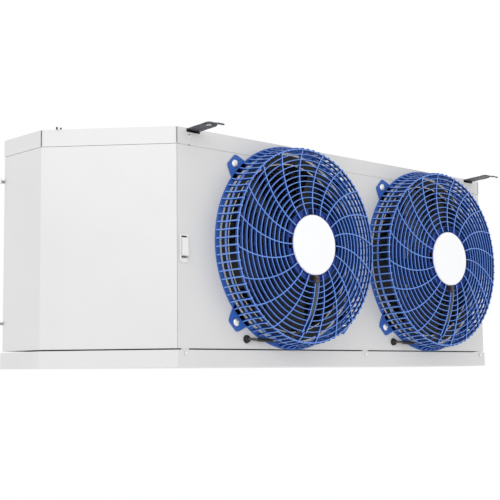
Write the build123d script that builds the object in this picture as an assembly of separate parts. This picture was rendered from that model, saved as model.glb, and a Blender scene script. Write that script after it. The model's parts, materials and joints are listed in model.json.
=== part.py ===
from build123d import *

import os
from math import acos, atan2, cos, degrees, hypot, pi, radians, sin, tan

# Walk-in unit cooler, millimetres. X runs along the unit, the fans face -Y and +Z is up.
# The origin is the centre of the four hanger slots, in the plane that meets the ceiling.

# ---- cabinet -------------------------------------------------------------------------------------
FRONT_WIDTH = 1300.0  # fan panel, between the two angled corners
CORNER_RUN = 233.0  # angled corner, measured along X
CORNER_DEPTH = 263.0  # angled corner, measured along Y
SIDE_DEPTH = 179.0  # straight end behind the angled corner
CABINET_HEIGHT = 610.0  # top sheet to underside of the drain pan
SKIRT_HEIGHT = 44.0  # folded edge of the top panel
PAN_HEIGHT = 43.0
PAN_GAP = 3.5  # dark line between cabinet and pan
PAN_PROUD = 3.0  # the pan stands out past the cabinet all round
SHEET = 1.5
SEAM = 1.0  # gap between neighbouring panels
RETURN_FLANGE = 16.0  # sheet turned inwards along a panel's edge
LAP = 6.0  # panel held by the strip behind the skirt
LAP_BEHIND_SKIRT = 25.0
RAIL_HEIGHT = 24.0  # rear bottom rail
REAR_PANEL_WIDTH = 237.0

# ---- hangers -------------------------------------------------------------------------------------
HANGER_INSET = 55.0  # slot centre from the end of the fan panel
HANGER_REACH = 61.0  # slot centre from the face of the cabinet
HANGER_RISE = 6.0  # ceiling plane above the top sheet
HANGER_WIDTH = 44.0
HANGER_THICK = 3.0
HANGER_ROOT = 60.0  # strap inside the cabinet
HANGER_SLOT_WIDTH = 11.0
HANGER_SLOT_LENGTH = 20.0
TONGUE_WIDTH = 16.0
TONGUE_REACH = 53.0  # tongue's tip beyond the slot centre
TONGUE_DROP = 9.0
HANGER_WINDOW = 9.0  # opening in the skirt that the strap comes out of

# ---- fans, guards and motors ---------------------------------------------------------------------
LEFT_FAN_X = 407.0  # first fan from the left end of the fan panel
FAN_PITCH = 604.0
FAN_BELOW_MIDDLE = 2.25  # fan axis below the middle of the cabinet above its pan
ORIFICE_RADIUS = 232.0
ORIFICE_DEPTH = 42.0
GUARD_BASE_RADIUS = 281.0
GUARD_BASE_WIDTH = 15.0
GUARD_BASE_THICK = 3.0
GUARD_RIM_RADIUS = 266.0
GUARD_DEPTH = 70.0
GUARD_DOME = 21.0  # the hub stands this far in front of the rim
GUARD_BAR = 3.0
FACE_DEPTH = 9.0  # depth of the vanes in the guard's face
SPOKES = 20
SPOKE_TURN_RADIUS = 232.0  # each spoke leaves the hub square and swirls on this radius
SPOKE_ROOT = 85.0
RINGS = 2
DOME_SIDES = 8
GUARD_BARS = 16
HUB_PLATE_RADIUS = 100.0
HUB_PLATE_THICK = 4.0
HUB_NOTCH = 30.0
CHANNEL_ANGLE = -84.0  # the spoke that carries the motor cord
CHANNEL_WIDTH = 12.0
CHANNEL_END = 238.0  # radius where the channel's open bottom ends
CORD_NOTCH_ANGLE = -108.0  # gap in the side bars where the cord leaves the guard
EAR_OUT = 17.0  # ear's outer edge past its screw
EAR_SCREW_RADIUS = 297.0
EAR_HALF_WIDTH = 22.0
EAR_ROOT_HALF_WIDTH = 36.0
GUARD_SCREW_HEAD = 11.0
SCREW_HEAD_THICK = 4.0
SCREW_HEAD_SIDES = 10
ROUND_SIDES = 40  # large thin rings are many-sided
PIN_SIDES = 12  # small pins and their bores
HUB_DISC_RADIUS = 82.0
HUB_DISC_THICK = 6.0
MOTOR_RADIUS = 49.0
MOTOR_LENGTH = 76.0
SHAFT_RADIUS = 6.0
SHAFT_CLEARANCE = 0.05
SHAFT_SEAT = 24.0  # shaft inside the motor
FAN_HUB_RADIUS = 42.0
FAN_HUB_LENGTH = 34.0
FAN_HUB_SIDES = 10
FAN_HUB_SETBACK = 8.0  # fan hub behind the face of the fan panel
FAN_RADIUS = 225.0
BLADES = 5
BLADE_THICK = 2.0
BLADE_ROOT_WIDTH = 60.0  # seen along the fan axis
BLADE_TIP_WIDTH = 118.0
BLADE_CHORD = 128.0
BLADE_PITCH = 27.0
BLADE_CAMBER = 8.0

# ---- motor cords ---------------------------------------------------------------------------------
CORD_RADIUS = 3.5
CORD_SIDES = 6
PLUG_X = 6.0
PLUG_WIDTH = 17.0
PLUG_HEIGHT = 19.0
PLUG_DEPTH = 12.0
GROMMET_RADIUS = 11.0
GROMMET_BORE = 4.0
GROMMET_THICK = 4.0
GROMMET_X = -172.0  # from the fan axis
GROMMET_Z = -254.0
# Route of the cord from the plug to the grommet: across, up and out from the panel, about the fan axis.
CORD_ROUTE = [
    (9.5, -102.0, 88.0),
    (9.5, -134.0, 88.0),
    (-7.5, -200.0, 76.0),
    (-33.0, -243.0, 44.0),
    (-48.0, -258.0, 9.0),
    (-120.0, -256.0, 7.5),
    (-161.0, -254.0, 13.0),
    (-172.0, -254.0, 8.0),
    (-172.0, -254.0, -1.5),
]

# ---- end doors, latch and hinges -----------------------------------------------------------------
HINGE_OFFSET = 6.0  # hinge pin outside the rear corner, along X and along Y
HINGE_PIN_RADIUS = 3.0
RUNNING_CLEARANCE = 0.05
LUG_THICK = 3.0
LUG_RADIUS = 7.0
LUG_LENGTH = 16.0
LUG_GAP = 0.3
HINGE_INSET = 70.0  # hinge lugs from the top and bottom of the door
HINGE_PIN_LENGTH = 7.0
LATCH_X = 22.0  # latch centre from the left end of the fan panel
LATCH_HEIGHT_ABOVE_BASE = 304.0
LATCH_WIDTH = 32.0
LATCH_LENGTH = 62.0
LATCH_PLATE = 3.0
LATCH_CHEEK = 3.0
LATCH_DEPTH = 10.0
LEVER_GAP = 0.6
LEVER_THICK = 5.0
LEVER_LENGTH = 50.0
LATCH_PIN_RADIUS = 1.5
LATCH_PIN_INSET = 13.0  # pin below the top of the latch

# ---- drain pan -----------------------------------------------------------------------------------
PAN_HINGE_X = 560.0
PAN_HINGE_BACK = 8.5  # hinge pin behind the pan's rear wall
DRAIN_RADIUS = 11.0
DRAIN_BORE = 9.0
DRAIN_LENGTH = 36.0
DRAIN_Y = 140.0
DRAIN_ABOVE_BASE = 17.0
DRAIN_NUT_RADIUS = 16.0  # over the corners
DRAIN_NUT_THICK = 6.0
TAB_WIDTH = 24.0
TAB_DROP = 18.0
PAN_SCREW_RADIUS = 5.0
PAN_SCREW_THICK = 2.5

# ---- coil ----------------------------------------------------------------------------------------
TUBE_SHEET_INSET = 2.5  # outer face of the tube sheet from the end of the fan panel
COIL_DEPTH = 150.0
COIL_REAR_GAP = 18.0
COIL_TOP_GAP = 14.0
COIL_BOTTOM_GAP = 16.0
FIN_THICK = 0.9
FINS = 28
TUBE_RADIUS = 6.4
TUBE_ROWS = 2
TUBES_PER_ROW = 5
TUBE_ROW_PITCH = 76.0
TUBE_PITCH = 98.0
TUBE_SIDES = 6
TUBE_STUB = 14.0  # tube standing out of the tube sheet
BEND_CORNER = 0.55  # cut corner of a return bend, as a share of its reach
HEADER_RADIUS = 16.0
SUCTION_SOCKET = 8.0  # socket standing out of the header, which the suction line is brazed into
SUCTION_RADIUS = 14.3
LIQUID_RADIUS = 6.35
LINE_STUB = 40.0  # connection standing out of the rear panel
LINE_HOLE_CLEARANCE = 1.5
SUCTION_X = 80.0  # suction line from the outside of the left tube sheet
LIQUID_X = 150.0
LINE_HEIGHT = 120.0  # lines above the underside of the pan
VALVE_SIZE = 30.0
VALVE_HEAD = 14.0
VALVE_HEAD_RADIUS = 20.0
BOX_WIDTH = 110.0
BOX_HEIGHT = 170.0
BOX_DEPTH = 62.0
TERMINAL_WIDTH = 30.0
TERMINAL_LENGTH = 90.0
TERMINAL_DEPTH = 22.0
TERMINALS = 6

# ---- places worked out from the sizes above ------------------------------------------------------
half_front = FRONT_WIDTH / 2
half_length = half_front + CORNER_RUN
half_depth = (CORNER_DEPTH + SIDE_DEPTH) / 2
top_z = -HANGER_RISE
base_z = top_z - CABINET_HEIGHT
skirt_z = top_z - SKIRT_HEIGHT
panel_top_z = skirt_z - SEAM
pan_top_z = base_z + PAN_HEIGHT
case_z = pan_top_z + PAN_GAP
inside_top_z = top_z - SHEET
fan_z = (top_z + case_z) / 2 - FAN_BELOW_MIDDLE
fan_xs = {"left": -half_front + LEFT_FAN_X, "right": -half_front + LEFT_FAN_X + FAN_PITCH}
hanger_x = half_front - HANGER_INSET
hanger_y = half_depth + HANGER_REACH
sheet_face_x = half_front - TUBE_SHEET_INSET
rear_panel_out = half_length - 2 * SHEET
rear_panel_in = rear_panel_out - REAR_PANEL_WIDTH
hinge_x = half_length + HINGE_OFFSET
hinge_y = half_depth + HINGE_OFFSET
flats = cos(pi / PIN_SIDES)  # a many-sided bore is this much tighter across its flats
hinge_bore = (HINGE_PIN_RADIUS + RUNNING_CLEARANCE) / flats


def box(x0, x1, y0, y1, z0, z1):
    """A block between two corners."""
    low = (min(x0, x1), min(y0, y1), min(z0, z1))
    size = (abs(x1 - x0), abs(y1 - y0), abs(z1 - z0))
    return Pos(*low) * Box(*size, align=(Align.MIN, Align.MIN, Align.MIN))


def rod(radius, length, sides=0):
    """An upright round bar, or a many-sided one where its sides are given."""
    if sides:
        return extrude(RegularPolygon(radius, sides), length)
    return Cylinder(radius, length, align=(Align.CENTER, Align.CENTER, Align.MIN))


def along_x(radius, x0, x1, y, z, sides=0):
    """A bar lying along X."""
    return Pos(min(x0, x1), y, z) * Rot(0, 90, 0) * rod(radius, abs(x1 - x0), sides)


def along_y(radius, y0, y1, x, z, sides=0):
    """A bar lying along Y."""
    return Pos(x, min(y0, y1), z) * Rot(-90, 0, 0) * rod(radius, abs(y1 - y0), sides)


def along_z(radius, z0, z1, x, y, sides=0):
    """A bar standing up."""
    return Pos(x, y, min(z0, z1)) * rod(radius, abs(z1 - z0), sides)


def upright(radius, low, high, sides=0):
    """A bar on the local Z axis between two heights."""
    return Pos(0, 0, low) * rod(radius, high - low, sides)


def footprint(inset):
    """Plan of the cabinet, moved inwards by inset."""
    corners = [
        (-half_front, -half_depth),
        (half_front, -half_depth),
        (half_length, -half_depth + CORNER_DEPTH),
        (half_length, half_depth),
        (-half_length, half_depth),
        (-half_length, -half_depth + CORNER_DEPTH),
    ]
    plan = make_face(Polyline(*corners, close=True))
    return offset(plan, -inset, kind=Kind.INTERSECTION) if inset else plan


def slab(inset, z0, z1):
    """The cabinet's plan as a block between two heights."""
    return Pos(0, 0, z0) * extrude(footprint(inset), z1 - z0)


def mirrored(shape):
    """The same piece at the other end of the unit."""
    return mirror(shape, Plane.YZ)


def save(name, *shapes):
    """One STEP file for a node, holding one or more separate solids."""
    solids = [solid for shape in shapes for solid in shape.solids()]
    shape = solids[0] if len(solids) == 1 else Compound(children=solids)
    export_step(shape, f"parts/{name}.step")


# ---- sheet metal of the cabinet ------------------------------------------------------------------
def top_panel():
    """Folded tray: top sheet, skirts with open corners, and windows for the hanger straps."""
    tray = slab(0, skirt_z, top_z) - slab(SHEET, skirt_z - SHEET, inside_top_z)
    corner_y = -half_depth + CORNER_DEPTH
    for x, y in ((half_front, -half_depth), (half_length, corner_y)):
        for side in (-1, 1):
            seam = box(-SEAM, SEAM, -3 * SHEET, 3 * SHEET, skirt_z, inside_top_z)
            tray -= Pos(side * x, y, 0) * Rot(0, 0, -side * 45) * seam
    half = HANGER_WIDTH / 2 + SEAM
    for x in (-hanger_x, hanger_x):
        for y in (-half_depth, half_depth):
            window = (x - half, x + half, y - 2 * SHEET, y + 2 * SHEET)
            tray -= box(*window, inside_top_z - HANGER_WINDOW, inside_top_z)
    return tray


def orifice_ring(x):
    """Plain collar behind the fan opening."""
    y = -half_depth
    collar = along_y(ORIFICE_RADIUS + SHEET, y, y + ORIFICE_DEPTH, x, fan_z, ROUND_SIDES)
    return collar - along_y(ORIFICE_RADIUS, y - SHEET, y + 2 * ORIFICE_DEPTH, x, fan_z, ROUND_SIDES)


def front_panel():
    """Fan panel with its two orifices, turned-in edges and the strip that tucks behind the skirt."""
    x = half_front - SEAM / 2
    y = -half_depth
    panel = box(-x, x, y, y + SHEET, case_z, panel_top_z)
    for side in (-1, 1):
        panel += box(side * x, side * (x - SHEET), y, y + RETURN_FLANGE, case_z, panel_top_z)
    panel += box(-x, x, y, y + RETURN_FLANGE, case_z, case_z + SHEET)
    strip_half = x - RETURN_FLANGE
    strip_top = skirt_z + LAP_BEHIND_SKIRT
    panel += box(-strip_half, strip_half, y + SHEET, y + 2 * SHEET, panel_top_z - LAP, strip_top)
    for fan_x in fan_xs.values():
        panel -= along_y(ORIFICE_RADIUS, y - SHEET, y + 2 * SHEET, fan_x, fan_z, ROUND_SIDES)
        panel += orifice_ring(fan_x)
        hole = (fan_x + GROMMET_X, fan_z + GROMMET_Z)
        panel -= along_y(GROMMET_BORE, y - SHEET, y + 2 * SHEET, *hole, sides=8)
    return panel


def rear_panel():
    """Left rear closing panel, with the holes for the two refrigerant lines."""
    y = half_depth
    panel = box(-rear_panel_out, -rear_panel_in, y - SHEET, y, case_z, skirt_z)
    strip_top = skirt_z + LAP_BEHIND_SKIRT
    panel += box(-rear_panel_out, -rear_panel_in, y - 2 * SHEET, y - SHEET, skirt_z - LAP, strip_top)
    return panel


def line_places():
    """Centre and radius of the suction and liquid lines in the left rear panel."""
    z = base_z + LINE_HEIGHT
    return {
        "suction": (-sheet_face_x - SUCTION_X, z, SUCTION_RADIUS),
        "liquid": (-sheet_face_x - LIQUID_X, z, LIQUID_RADIUS),
    }


def rear_bottom_rail():
    """Angle along the bottom of the coil, which carries the pan's hinges."""
    x = rear_panel_in
    top = case_z + RAIL_HEIGHT
    rail = box(-x, x, half_depth - SHEET, half_depth, case_z, top)
    return rail + box(-x, x, half_depth - RETURN_FLANGE, half_depth, top - SHEET, top)


def tube_sheet():
    """Right end plate of the coil, which also ties the front, the top and the rear together."""
    x1 = sheet_face_x
    sheet_front = -half_depth + SHEET + SEAM
    plate = box(x1 - SHEET, x1, sheet_front, half_depth - SHEET, case_z + SHEET, inside_top_z)
    low = top_z - LAP_BEHIND_SKIRT - SKIRT_HEIGHT
    for y in (-half_depth + SHEET, half_depth - SHEET):
        plate -= box(x1 - 2 * SHEET, x1 + SHEET, y - 2 * SHEET, y + SHEET, low, inside_top_z)
    return plate


def fan_partition():
    """Sheet between the two fans, so that a stopped fan isn't a short cut for the air."""
    x = sum(fan_xs.values()) / 2
    y0 = -half_depth + SHEET
    y1 = half_depth - COIL_REAR_GAP - COIL_DEPTH - SEAM
    sheet = box(x, x + SHEET, y0 + SHEET, y1, case_z + 2 * SHEET, inside_top_z)
    return sheet + box(x, x + RETURN_FLANGE, y0, y0 + SHEET, case_z + SHEET, panel_top_z - LAP)


def hanger_bracket():
    """Front right strap: root under the top sheet, rise, slotted eye and a drooping tongue."""
    root_z = inside_top_z
    y_face = -half_depth
    y_in = y_face + HANGER_ROOT
    rise_start = y_face - SHEET
    rise_end = y_face - HANGER_REACH / 2
    tip = -hanger_y - TONGUE_REACH
    neck = -hanger_y - HANGER_WIDTH / 2
    top = [
        (y_in, root_z),
        (rise_start, root_z),
        (rise_end, 0),
        (neck, 0),
        ((neck + tip) / 2, 0),
        (tip, -TONGUE_DROP),
    ]
    under = [(y, z - HANGER_THICK) for y, z in reversed(top)]
    side = make_face(Polyline(*top, *under, close=True))
    strap = extrude(Plane.YZ * side, HANGER_WIDTH / 2, both=True)
    plan = Pos(0, (y_in - hanger_y) / 2) * Rectangle(HANGER_WIDTH, y_in + hanger_y)
    plan += Pos(0, -hanger_y) * RegularPolygon(HANGER_WIDTH / 2, 8, major_radius=False, rotation=22.5)
    tongue = TONGUE_REACH - TONGUE_WIDTH / 2
    plan += Pos(0, -hanger_y - tongue / 2) * Rectangle(TONGUE_WIDTH, tongue)
    tip = RegularPolygon(TONGUE_WIDTH / 2, 8, major_radius=False, rotation=22.5)
    plan += Pos(0, -hanger_y - tongue) * tip
    plan -= Pos(0, -hanger_y) * SlotOverall(HANGER_SLOT_LENGTH, HANGER_SLOT_WIDTH)
    return Pos(hanger_x, 0, 0) * (strap & extrude(plan, HANGER_REACH, both=True))


# ---- end doors -----------------------------------------------------------------------------------
def end_door():
    """Right end door: angled corner and side in one folded tray."""
    rear = half_depth - 2 * SHEET
    keep = box(half_front + SEAM / 2, half_length + SHEET, -half_depth - SHEET, rear, case_z, panel_top_z)
    shell = slab(0, case_z, panel_top_z) - slab(SHEET, case_z - SHEET, panel_top_z + SHEET)
    edge = footprint(0) - footprint(RETURN_FLANGE)
    lips = Pos(0, 0, case_z) * extrude(edge, SHEET) + Pos(0, 0, panel_top_z - SHEET) * extrude(edge, SHEET)
    clear = box(0, rear_panel_in + REAR_PANEL_WIDTH, rear - RETURN_FLANGE, half_depth, case_z, panel_top_z)
    return (shell + (lips - clear)) & keep


def lug_plan(root_along_x):
    """Rounded hinge lug in plan, its pin at the origin and its root on the rear panel or on the door."""
    plan = RegularPolygon(LUG_RADIUS, 8, major_radius=False, rotation=22.5)
    shift = -HINGE_OFFSET + LUG_RADIUS / 2
    if root_along_x:
        return plan + Pos(-LUG_LENGTH / 2, shift) * Rectangle(LUG_LENGTH, LUG_RADIUS)
    return plan + Pos(shift, -LUG_LENGTH / 2) * Rectangle(LUG_RADIUS, LUG_LENGTH)


def hinge_heights():
    """Underside of each fixed hinge lug."""
    return (case_z + HINGE_INSET, panel_top_z - HINGE_INSET)


def hinge_brackets():
    """Fixed lugs on the right rear panel, each with its standing pin."""
    pieces = []
    for z in hinge_heights():
        lug = Pos(hinge_x, hinge_y, z) * extrude(lug_plan(True), LUG_THICK)
        pin_z = z + LUG_THICK
        pin = along_z(HINGE_PIN_RADIUS, pin_z, pin_z + HINGE_PIN_LENGTH, hinge_x, hinge_y, PIN_SIDES)
        pieces.append(lug + pin)
    return pieces


def door_lugs():
    """Lugs on the right door, which drop over the standing pins."""
    pieces = []
    for z in hinge_heights():
        z0 = z + LUG_THICK + LUG_GAP
        lug = Pos(hinge_x, hinge_y, z0) * extrude(lug_plan(False), LUG_THICK)
        bore = along_z(hinge_bore, z0 - LUG_THICK, z0 + 2 * LUG_THICK, hinge_x, hinge_y, PIN_SIDES)
        pieces.append(lug - bore)
    return pieces


latch_x = -half_front + LATCH_X
latch_z = base_z + LATCH_HEIGHT_ABOVE_BASE
latch_pin_z = latch_z + LATCH_LENGTH / 2 - LATCH_PIN_INSET
lever_back = -half_depth - LATCH_PLATE - LEVER_GAP
latch_pin_y = lever_back - LEVER_THICK / 2


def latch_base():
    """Moulded plate with two cheeks and the cross pin that the lever turns on."""
    y = -half_depth
    half_w = LATCH_WIDTH / 2
    half_l = LATCH_LENGTH / 2
    base = box(latch_x - half_w, latch_x + half_w, y - LATCH_PLATE, y, latch_z - half_l, latch_z + half_l)
    for side in (-1, 1):
        outer = latch_x + side * half_w
        inner = outer - side * LATCH_CHEEK
        base += box(outer, inner, y - LATCH_DEPTH, y, latch_z - half_l, latch_z + half_l)
    inside = half_w - LATCH_CHEEK
    ends = (latch_x - inside, latch_x + inside)
    return base + along_x(LATCH_PIN_RADIUS, *ends, latch_pin_y, latch_pin_z, PIN_SIDES)


def latch_lever():
    """Lever between the cheeks, with a finger lip at its lower end."""
    half_w = LATCH_WIDTH / 2 - LATCH_CHEEK - LEVER_GAP
    top = latch_pin_z + LEVER_THICK / 2
    low = top - LEVER_LENGTH
    front = lever_back - LEVER_THICK
    side = Polyline(
        (lever_back, top),
        (front, top),
        (front, low + 2 * LEVER_THICK),
        (front - LEVER_THICK, low),
        (front, low),
        (lever_back, low + LEVER_THICK),
        close=True,
    )
    lever = Pos(latch_x, 0, 0) * extrude(Plane.YZ * make_face(side), half_w, both=True)
    lever = chamfer(lever.edges().filter_by(Axis.X).group_by(Axis.Z)[-1], LEVER_THICK / 4)
    bore = (LATCH_PIN_RADIUS + RUNNING_CLEARANCE) / flats
    ends = (latch_x - 2 * half_w, latch_x + 2 * half_w)
    return lever - along_x(bore, *ends, latch_pin_y, latch_pin_z, PIN_SIDES)


# ---- drain pan -----------------------------------------------------------------------------------
pan_hinge_y = half_depth + PAN_PROUD + PAN_HINGE_BACK
pan_hinge_z = pan_top_z


def drain_place():
    """Y and Z of the drain, in the pan's right end."""
    return DRAIN_Y, base_z + DRAIN_ABOVE_BASE


def drain_pan():
    """Open tray under the cabinet, with a hole for the drain in its right end."""
    tray = slab(-PAN_PROUD, base_z, pan_top_z) - slab(SHEET - PAN_PROUD, base_z + SHEET, pan_top_z + SHEET)
    x = half_length + PAN_PROUD
    return tray - along_x(DRAIN_RADIUS, x - 3 * SHEET, x + SHEET, *drain_place(), sides=PIN_SIDES)


def drain_fitting():
    """Drain stub through the pan's end, with its collar outside."""
    x = half_length + PAN_PROUD
    place = drain_place()
    stub = along_x(DRAIN_RADIUS, x + DRAIN_NUT_THICK, x + DRAIN_NUT_THICK + DRAIN_LENGTH, *place)
    stub += along_x(DRAIN_RADIUS, x - SHEET - DRAIN_NUT_THICK, x + DRAIN_NUT_THICK, *place, sides=PIN_SIDES)
    stub += along_x(DRAIN_NUT_RADIUS, x, x + DRAIN_NUT_THICK, *place, sides=6)
    return stub - along_x(DRAIN_BORE, x - DRAIN_LENGTH, x + 2 * DRAIN_LENGTH, *place, sides=PIN_SIDES)


def drain_nut():
    """Hexagon nut on the drain stub, inside the pan."""
    x = half_length + PAN_PROUD - SHEET
    y, z = drain_place()
    nut = Rot(0, 0, 30) * rod(DRAIN_NUT_RADIUS, DRAIN_NUT_THICK, 6)
    nut -= Pos(0, 0, -DRAIN_NUT_THICK) * rod(DRAIN_RADIUS, 3 * DRAIN_NUT_THICK, PIN_SIDES)
    return Pos(x, y, z) * Rot(0, -90, 0) * nut


def pan_hinge_brackets():
    """Arms on the rear rail, each with a pin that the pan's lug turns on."""
    pieces = []
    arm_low = case_z
    for side in (-1, 1):
        x0 = side * PAN_HINGE_X
        x1 = x0 + side * LUG_THICK
        arm = Polyline(
            (half_depth, arm_low),
            (half_depth, case_z + RAIL_HEIGHT),
            (pan_hinge_y + LUG_RADIUS, pan_hinge_z + LUG_RADIUS / 2),
            (pan_hinge_y, pan_hinge_z - LUG_RADIUS / 2),
            (half_depth + PAN_PROUD + SEAM, arm_low),
            close=True,
        )
        plate = Pos(x0, 0, 0) * extrude(Plane.YZ * make_face(arm), side * LUG_THICK)
        plate += along_x(LUG_RADIUS, x0, x1, pan_hinge_y, pan_hinge_z, sides=8)
        pin_end = x1 + side * HINGE_PIN_LENGTH
        pieces.append(plate + along_x(HINGE_PIN_RADIUS, x1, pin_end, pan_hinge_y, pan_hinge_z, PIN_SIDES))
    return pieces


def pan_lugs():
    """Lugs on the pan's rear wall."""
    pieces = []
    wall = half_depth + PAN_PROUD
    for side in (-1, 1):
        x0 = side * (PAN_HINGE_X + LUG_THICK + LUG_GAP)
        x1 = x0 + side * LUG_THICK
        low = pan_hinge_z - LUG_LENGTH
        web = Polyline(
            (wall, pan_hinge_z - LUG_GAP),
            (pan_hinge_y, pan_hinge_z - LUG_GAP),
            (pan_hinge_y, pan_hinge_z - LUG_RADIUS),
            (wall, low),
            close=True,
        )
        lug = Pos(x0, 0, 0) * extrude(Plane.YZ * make_face(web), side * LUG_THICK)
        lug += along_x(LUG_RADIUS, x0, x1, pan_hinge_y, pan_hinge_z, sides=8)
        ends = (x0 - side * LUG_THICK, x1 + side * LUG_THICK)
        pieces.append(lug - along_x(hinge_bore, *ends, pan_hinge_y, pan_hinge_z, PIN_SIDES))
    return pieces


def tab_places():
    """X of the tabs that the pan's front wall is screwed to."""
    return (-half_front + TAB_WIDTH, sum(fan_xs.values()) / 2, half_front - TAB_WIDTH)


def pan_tabs():
    """Tabs under the fan panel's lower edge, just inside the pan's front wall."""
    y = -half_depth - PAN_PROUD + SHEET + 2 * LUG_GAP
    pieces = []
    for x in tab_places():
        tab = box(x - TAB_WIDTH / 2, x + TAB_WIDTH / 2, y, y + SHEET, pan_top_z - TAB_DROP, case_z)
        foot_back = -half_depth + RETURN_FLANGE
        pieces.append(tab + box(x - TAB_WIDTH / 2, x + TAB_WIDTH / 2, y, foot_back, case_z - SHEET, case_z))
    return pieces


def pan_screws():
    """Screw heads on the pan's front wall."""
    y = -half_depth - PAN_PROUD
    z = pan_top_z - TAB_DROP / 2
    return [along_y(PAN_SCREW_RADIUS, y - PAN_SCREW_THICK, y, x, z, SCREW_HEAD_SIDES) for x in tab_places()]


# ---- coil ----------------------------------------------------------------------------------------
coil_front = half_depth - COIL_REAR_GAP - COIL_DEPTH
coil_back = half_depth - COIL_REAR_GAP
coil_mid_y = (coil_front + coil_back) / 2
coil_low = case_z + COIL_BOTTOM_GAP
coil_high = inside_top_z - COIL_TOP_GAP
coil_mid_z = (coil_low + coil_high) / 2
sheet_inner_x = sheet_face_x - SHEET


def coil_fins():
    """Fin plates, spaced evenly between the two tube sheets."""
    pitch = 2 * sheet_inner_x / (FINS + 1)
    first = -sheet_inner_x + pitch
    return [
        box(x - FIN_THICK / 2, x + FIN_THICK / 2, coil_front, coil_back, coil_low, coil_high)
        for x in (first + n * pitch for n in range(FINS))
    ]


def tube_places():
    """(Y, Z) of each tube, in the order that the refrigerant passes: down one row and up the next."""
    places = []
    for row in range(TUBE_ROWS):
        y = coil_mid_y + (row - (TUBE_ROWS - 1) / 2) * TUBE_ROW_PITCH
        column = [(y, coil_mid_z + ((TUBES_PER_ROW - 1) / 2 - n) * TUBE_PITCH) for n in range(TUBES_PER_ROW)]
        places += column if row % 2 == 0 else column[::-1]
    return places


def tube_section():
    """Six-sided section of a coil tube, with its flats at top and bottom."""
    return RegularPolygon(TUBE_RADIUS, TUBE_SIDES)


def coil_tubes():
    """Straight tubes through the fins and both tube sheets."""
    length = 2 * (sheet_face_x + TUBE_STUB)
    tube = Rot(0, 90, 0) * extrude(tube_section(), length / 2, both=True)
    return [Pos(0, y, z) * tube for y, z in tube_places()]


def return_bends():
    """Bends that join the tubes in pairs, by turns at the right and at the left end."""
    places = tube_places()
    pieces = []
    for n, (here, there) in enumerate(zip(places, places[1:])):
        side = 1 if n % 2 == 0 else -1
        run = Vector(0, there[0] - here[0], there[1] - here[1])
        middle = (side * (sheet_face_x + TUBE_STUB), (here[0] + there[0]) / 2, (here[1] + there[1]) / 2)
        frame = Plane(origin=middle, x_dir=run, z_dir=run.cross(Vector(side, 0, 0)))
        half = run.length / 2
        corner = BEND_CORNER * TUBE_ROW_PITCH / 2
        reach = TUBE_ROW_PITCH / 2
        path = Polyline(
            (half, 0),
            (half, reach - corner),
            (half - corner, reach),
            (corner - half, reach),
            (-half, reach - corner),
            (-half, 0),
        )
        section = Plane(origin=(half, 0, 0), x_dir=(1, 0, 0), z_dir=(0, 1, 0)) * tube_section()
        pieces.append(frame * sweep(section, path=path, transition=Transition.RIGHT))
    return pieces


header_x = -sheet_face_x - SUCTION_X
inlet_x = -sheet_face_x - LIQUID_X


def suction_header():
    """Upright header on the last tube, with the line that leaves through the left rear panel."""
    y, z = tube_places()[-1]
    line_z = base_z + LINE_HEIGHT
    header = along_z(HEADER_RADIUS, line_z - HEADER_RADIUS, z + HEADER_RADIUS, header_x, y, sides=8)
    header += along_x(TUBE_RADIUS, header_x, -sheet_face_x - TUBE_STUB, y, z, TUBE_SIDES)
    socket_end = y + HEADER_RADIUS + SUCTION_SOCKET
    header += along_y(SUCTION_RADIUS + SHEET, y, socket_end, header_x, line_z)
    return header + along_y(SUCTION_RADIUS, socket_end, half_depth + LINE_STUB, header_x, line_z)


def valve_place():
    """Y and Z of the middle of the expansion valve."""
    return tube_places()[0][0], base_z + LINE_HEIGHT


def liquid_line():
    """Liquid line from the left rear panel to the expansion valve."""
    y, z = valve_place()
    return along_y(LIQUID_RADIUS, y + VALVE_SIZE / 2, half_depth + LINE_STUB, inlet_x, z)


def expansion_valve():
    """Valve body with its round power head on the outer side."""
    y, z = valve_place()
    half = VALVE_SIZE / 2
    body = box(inlet_x - half, inlet_x + half, y - half, y + half, z - half, z + half)
    outer = inlet_x - half
    return body + along_x(VALVE_HEAD_RADIUS, outer - VALVE_HEAD, outer, y, z, SCREW_HEAD_SIDES)


def feeder_line():
    """Riser from the expansion valve and its branch to the first coil tube."""
    y, z = tube_places()[0]
    valve_top = valve_place()[1] + VALVE_SIZE / 2
    riser = along_z(LIQUID_RADIUS, valve_top, z + LIQUID_RADIUS, inlet_x, y, TUBE_SIDES)
    return riser + along_x(TUBE_RADIUS - SHEET, inlet_x, -sheet_face_x - TUBE_STUB, y, z, TUBE_SIDES)


box_front_y = tube_places()[0][0] - 2 * TUBE_RADIUS - BOX_WIDTH


def junction_box():
    """Open electrical box on the outer face of the right tube sheet."""
    y0 = box_front_y
    z0 = base_z + LINE_HEIGHT
    x0 = sheet_face_x
    y1 = y0 + BOX_WIDTH
    z1 = z0 + BOX_HEIGHT
    shell = box(x0, x0 + BOX_DEPTH, y0, y1, z0, z1)
    return shell - box(x0 + SHEET, x0 + 2 * BOX_DEPTH, y0 + SHEET, y1 - SHEET, z0 + SHEET, z1 - SHEET)


def junction_box_cover():
    """Flat cover of the electrical box."""
    y0 = box_front_y
    z0 = base_z + LINE_HEIGHT
    x0 = sheet_face_x + BOX_DEPTH
    return box(x0, x0 + SHEET, y0 - SHEET, y0 + BOX_WIDTH + SHEET, z0 - SHEET, z0 + BOX_HEIGHT + SHEET)


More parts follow.
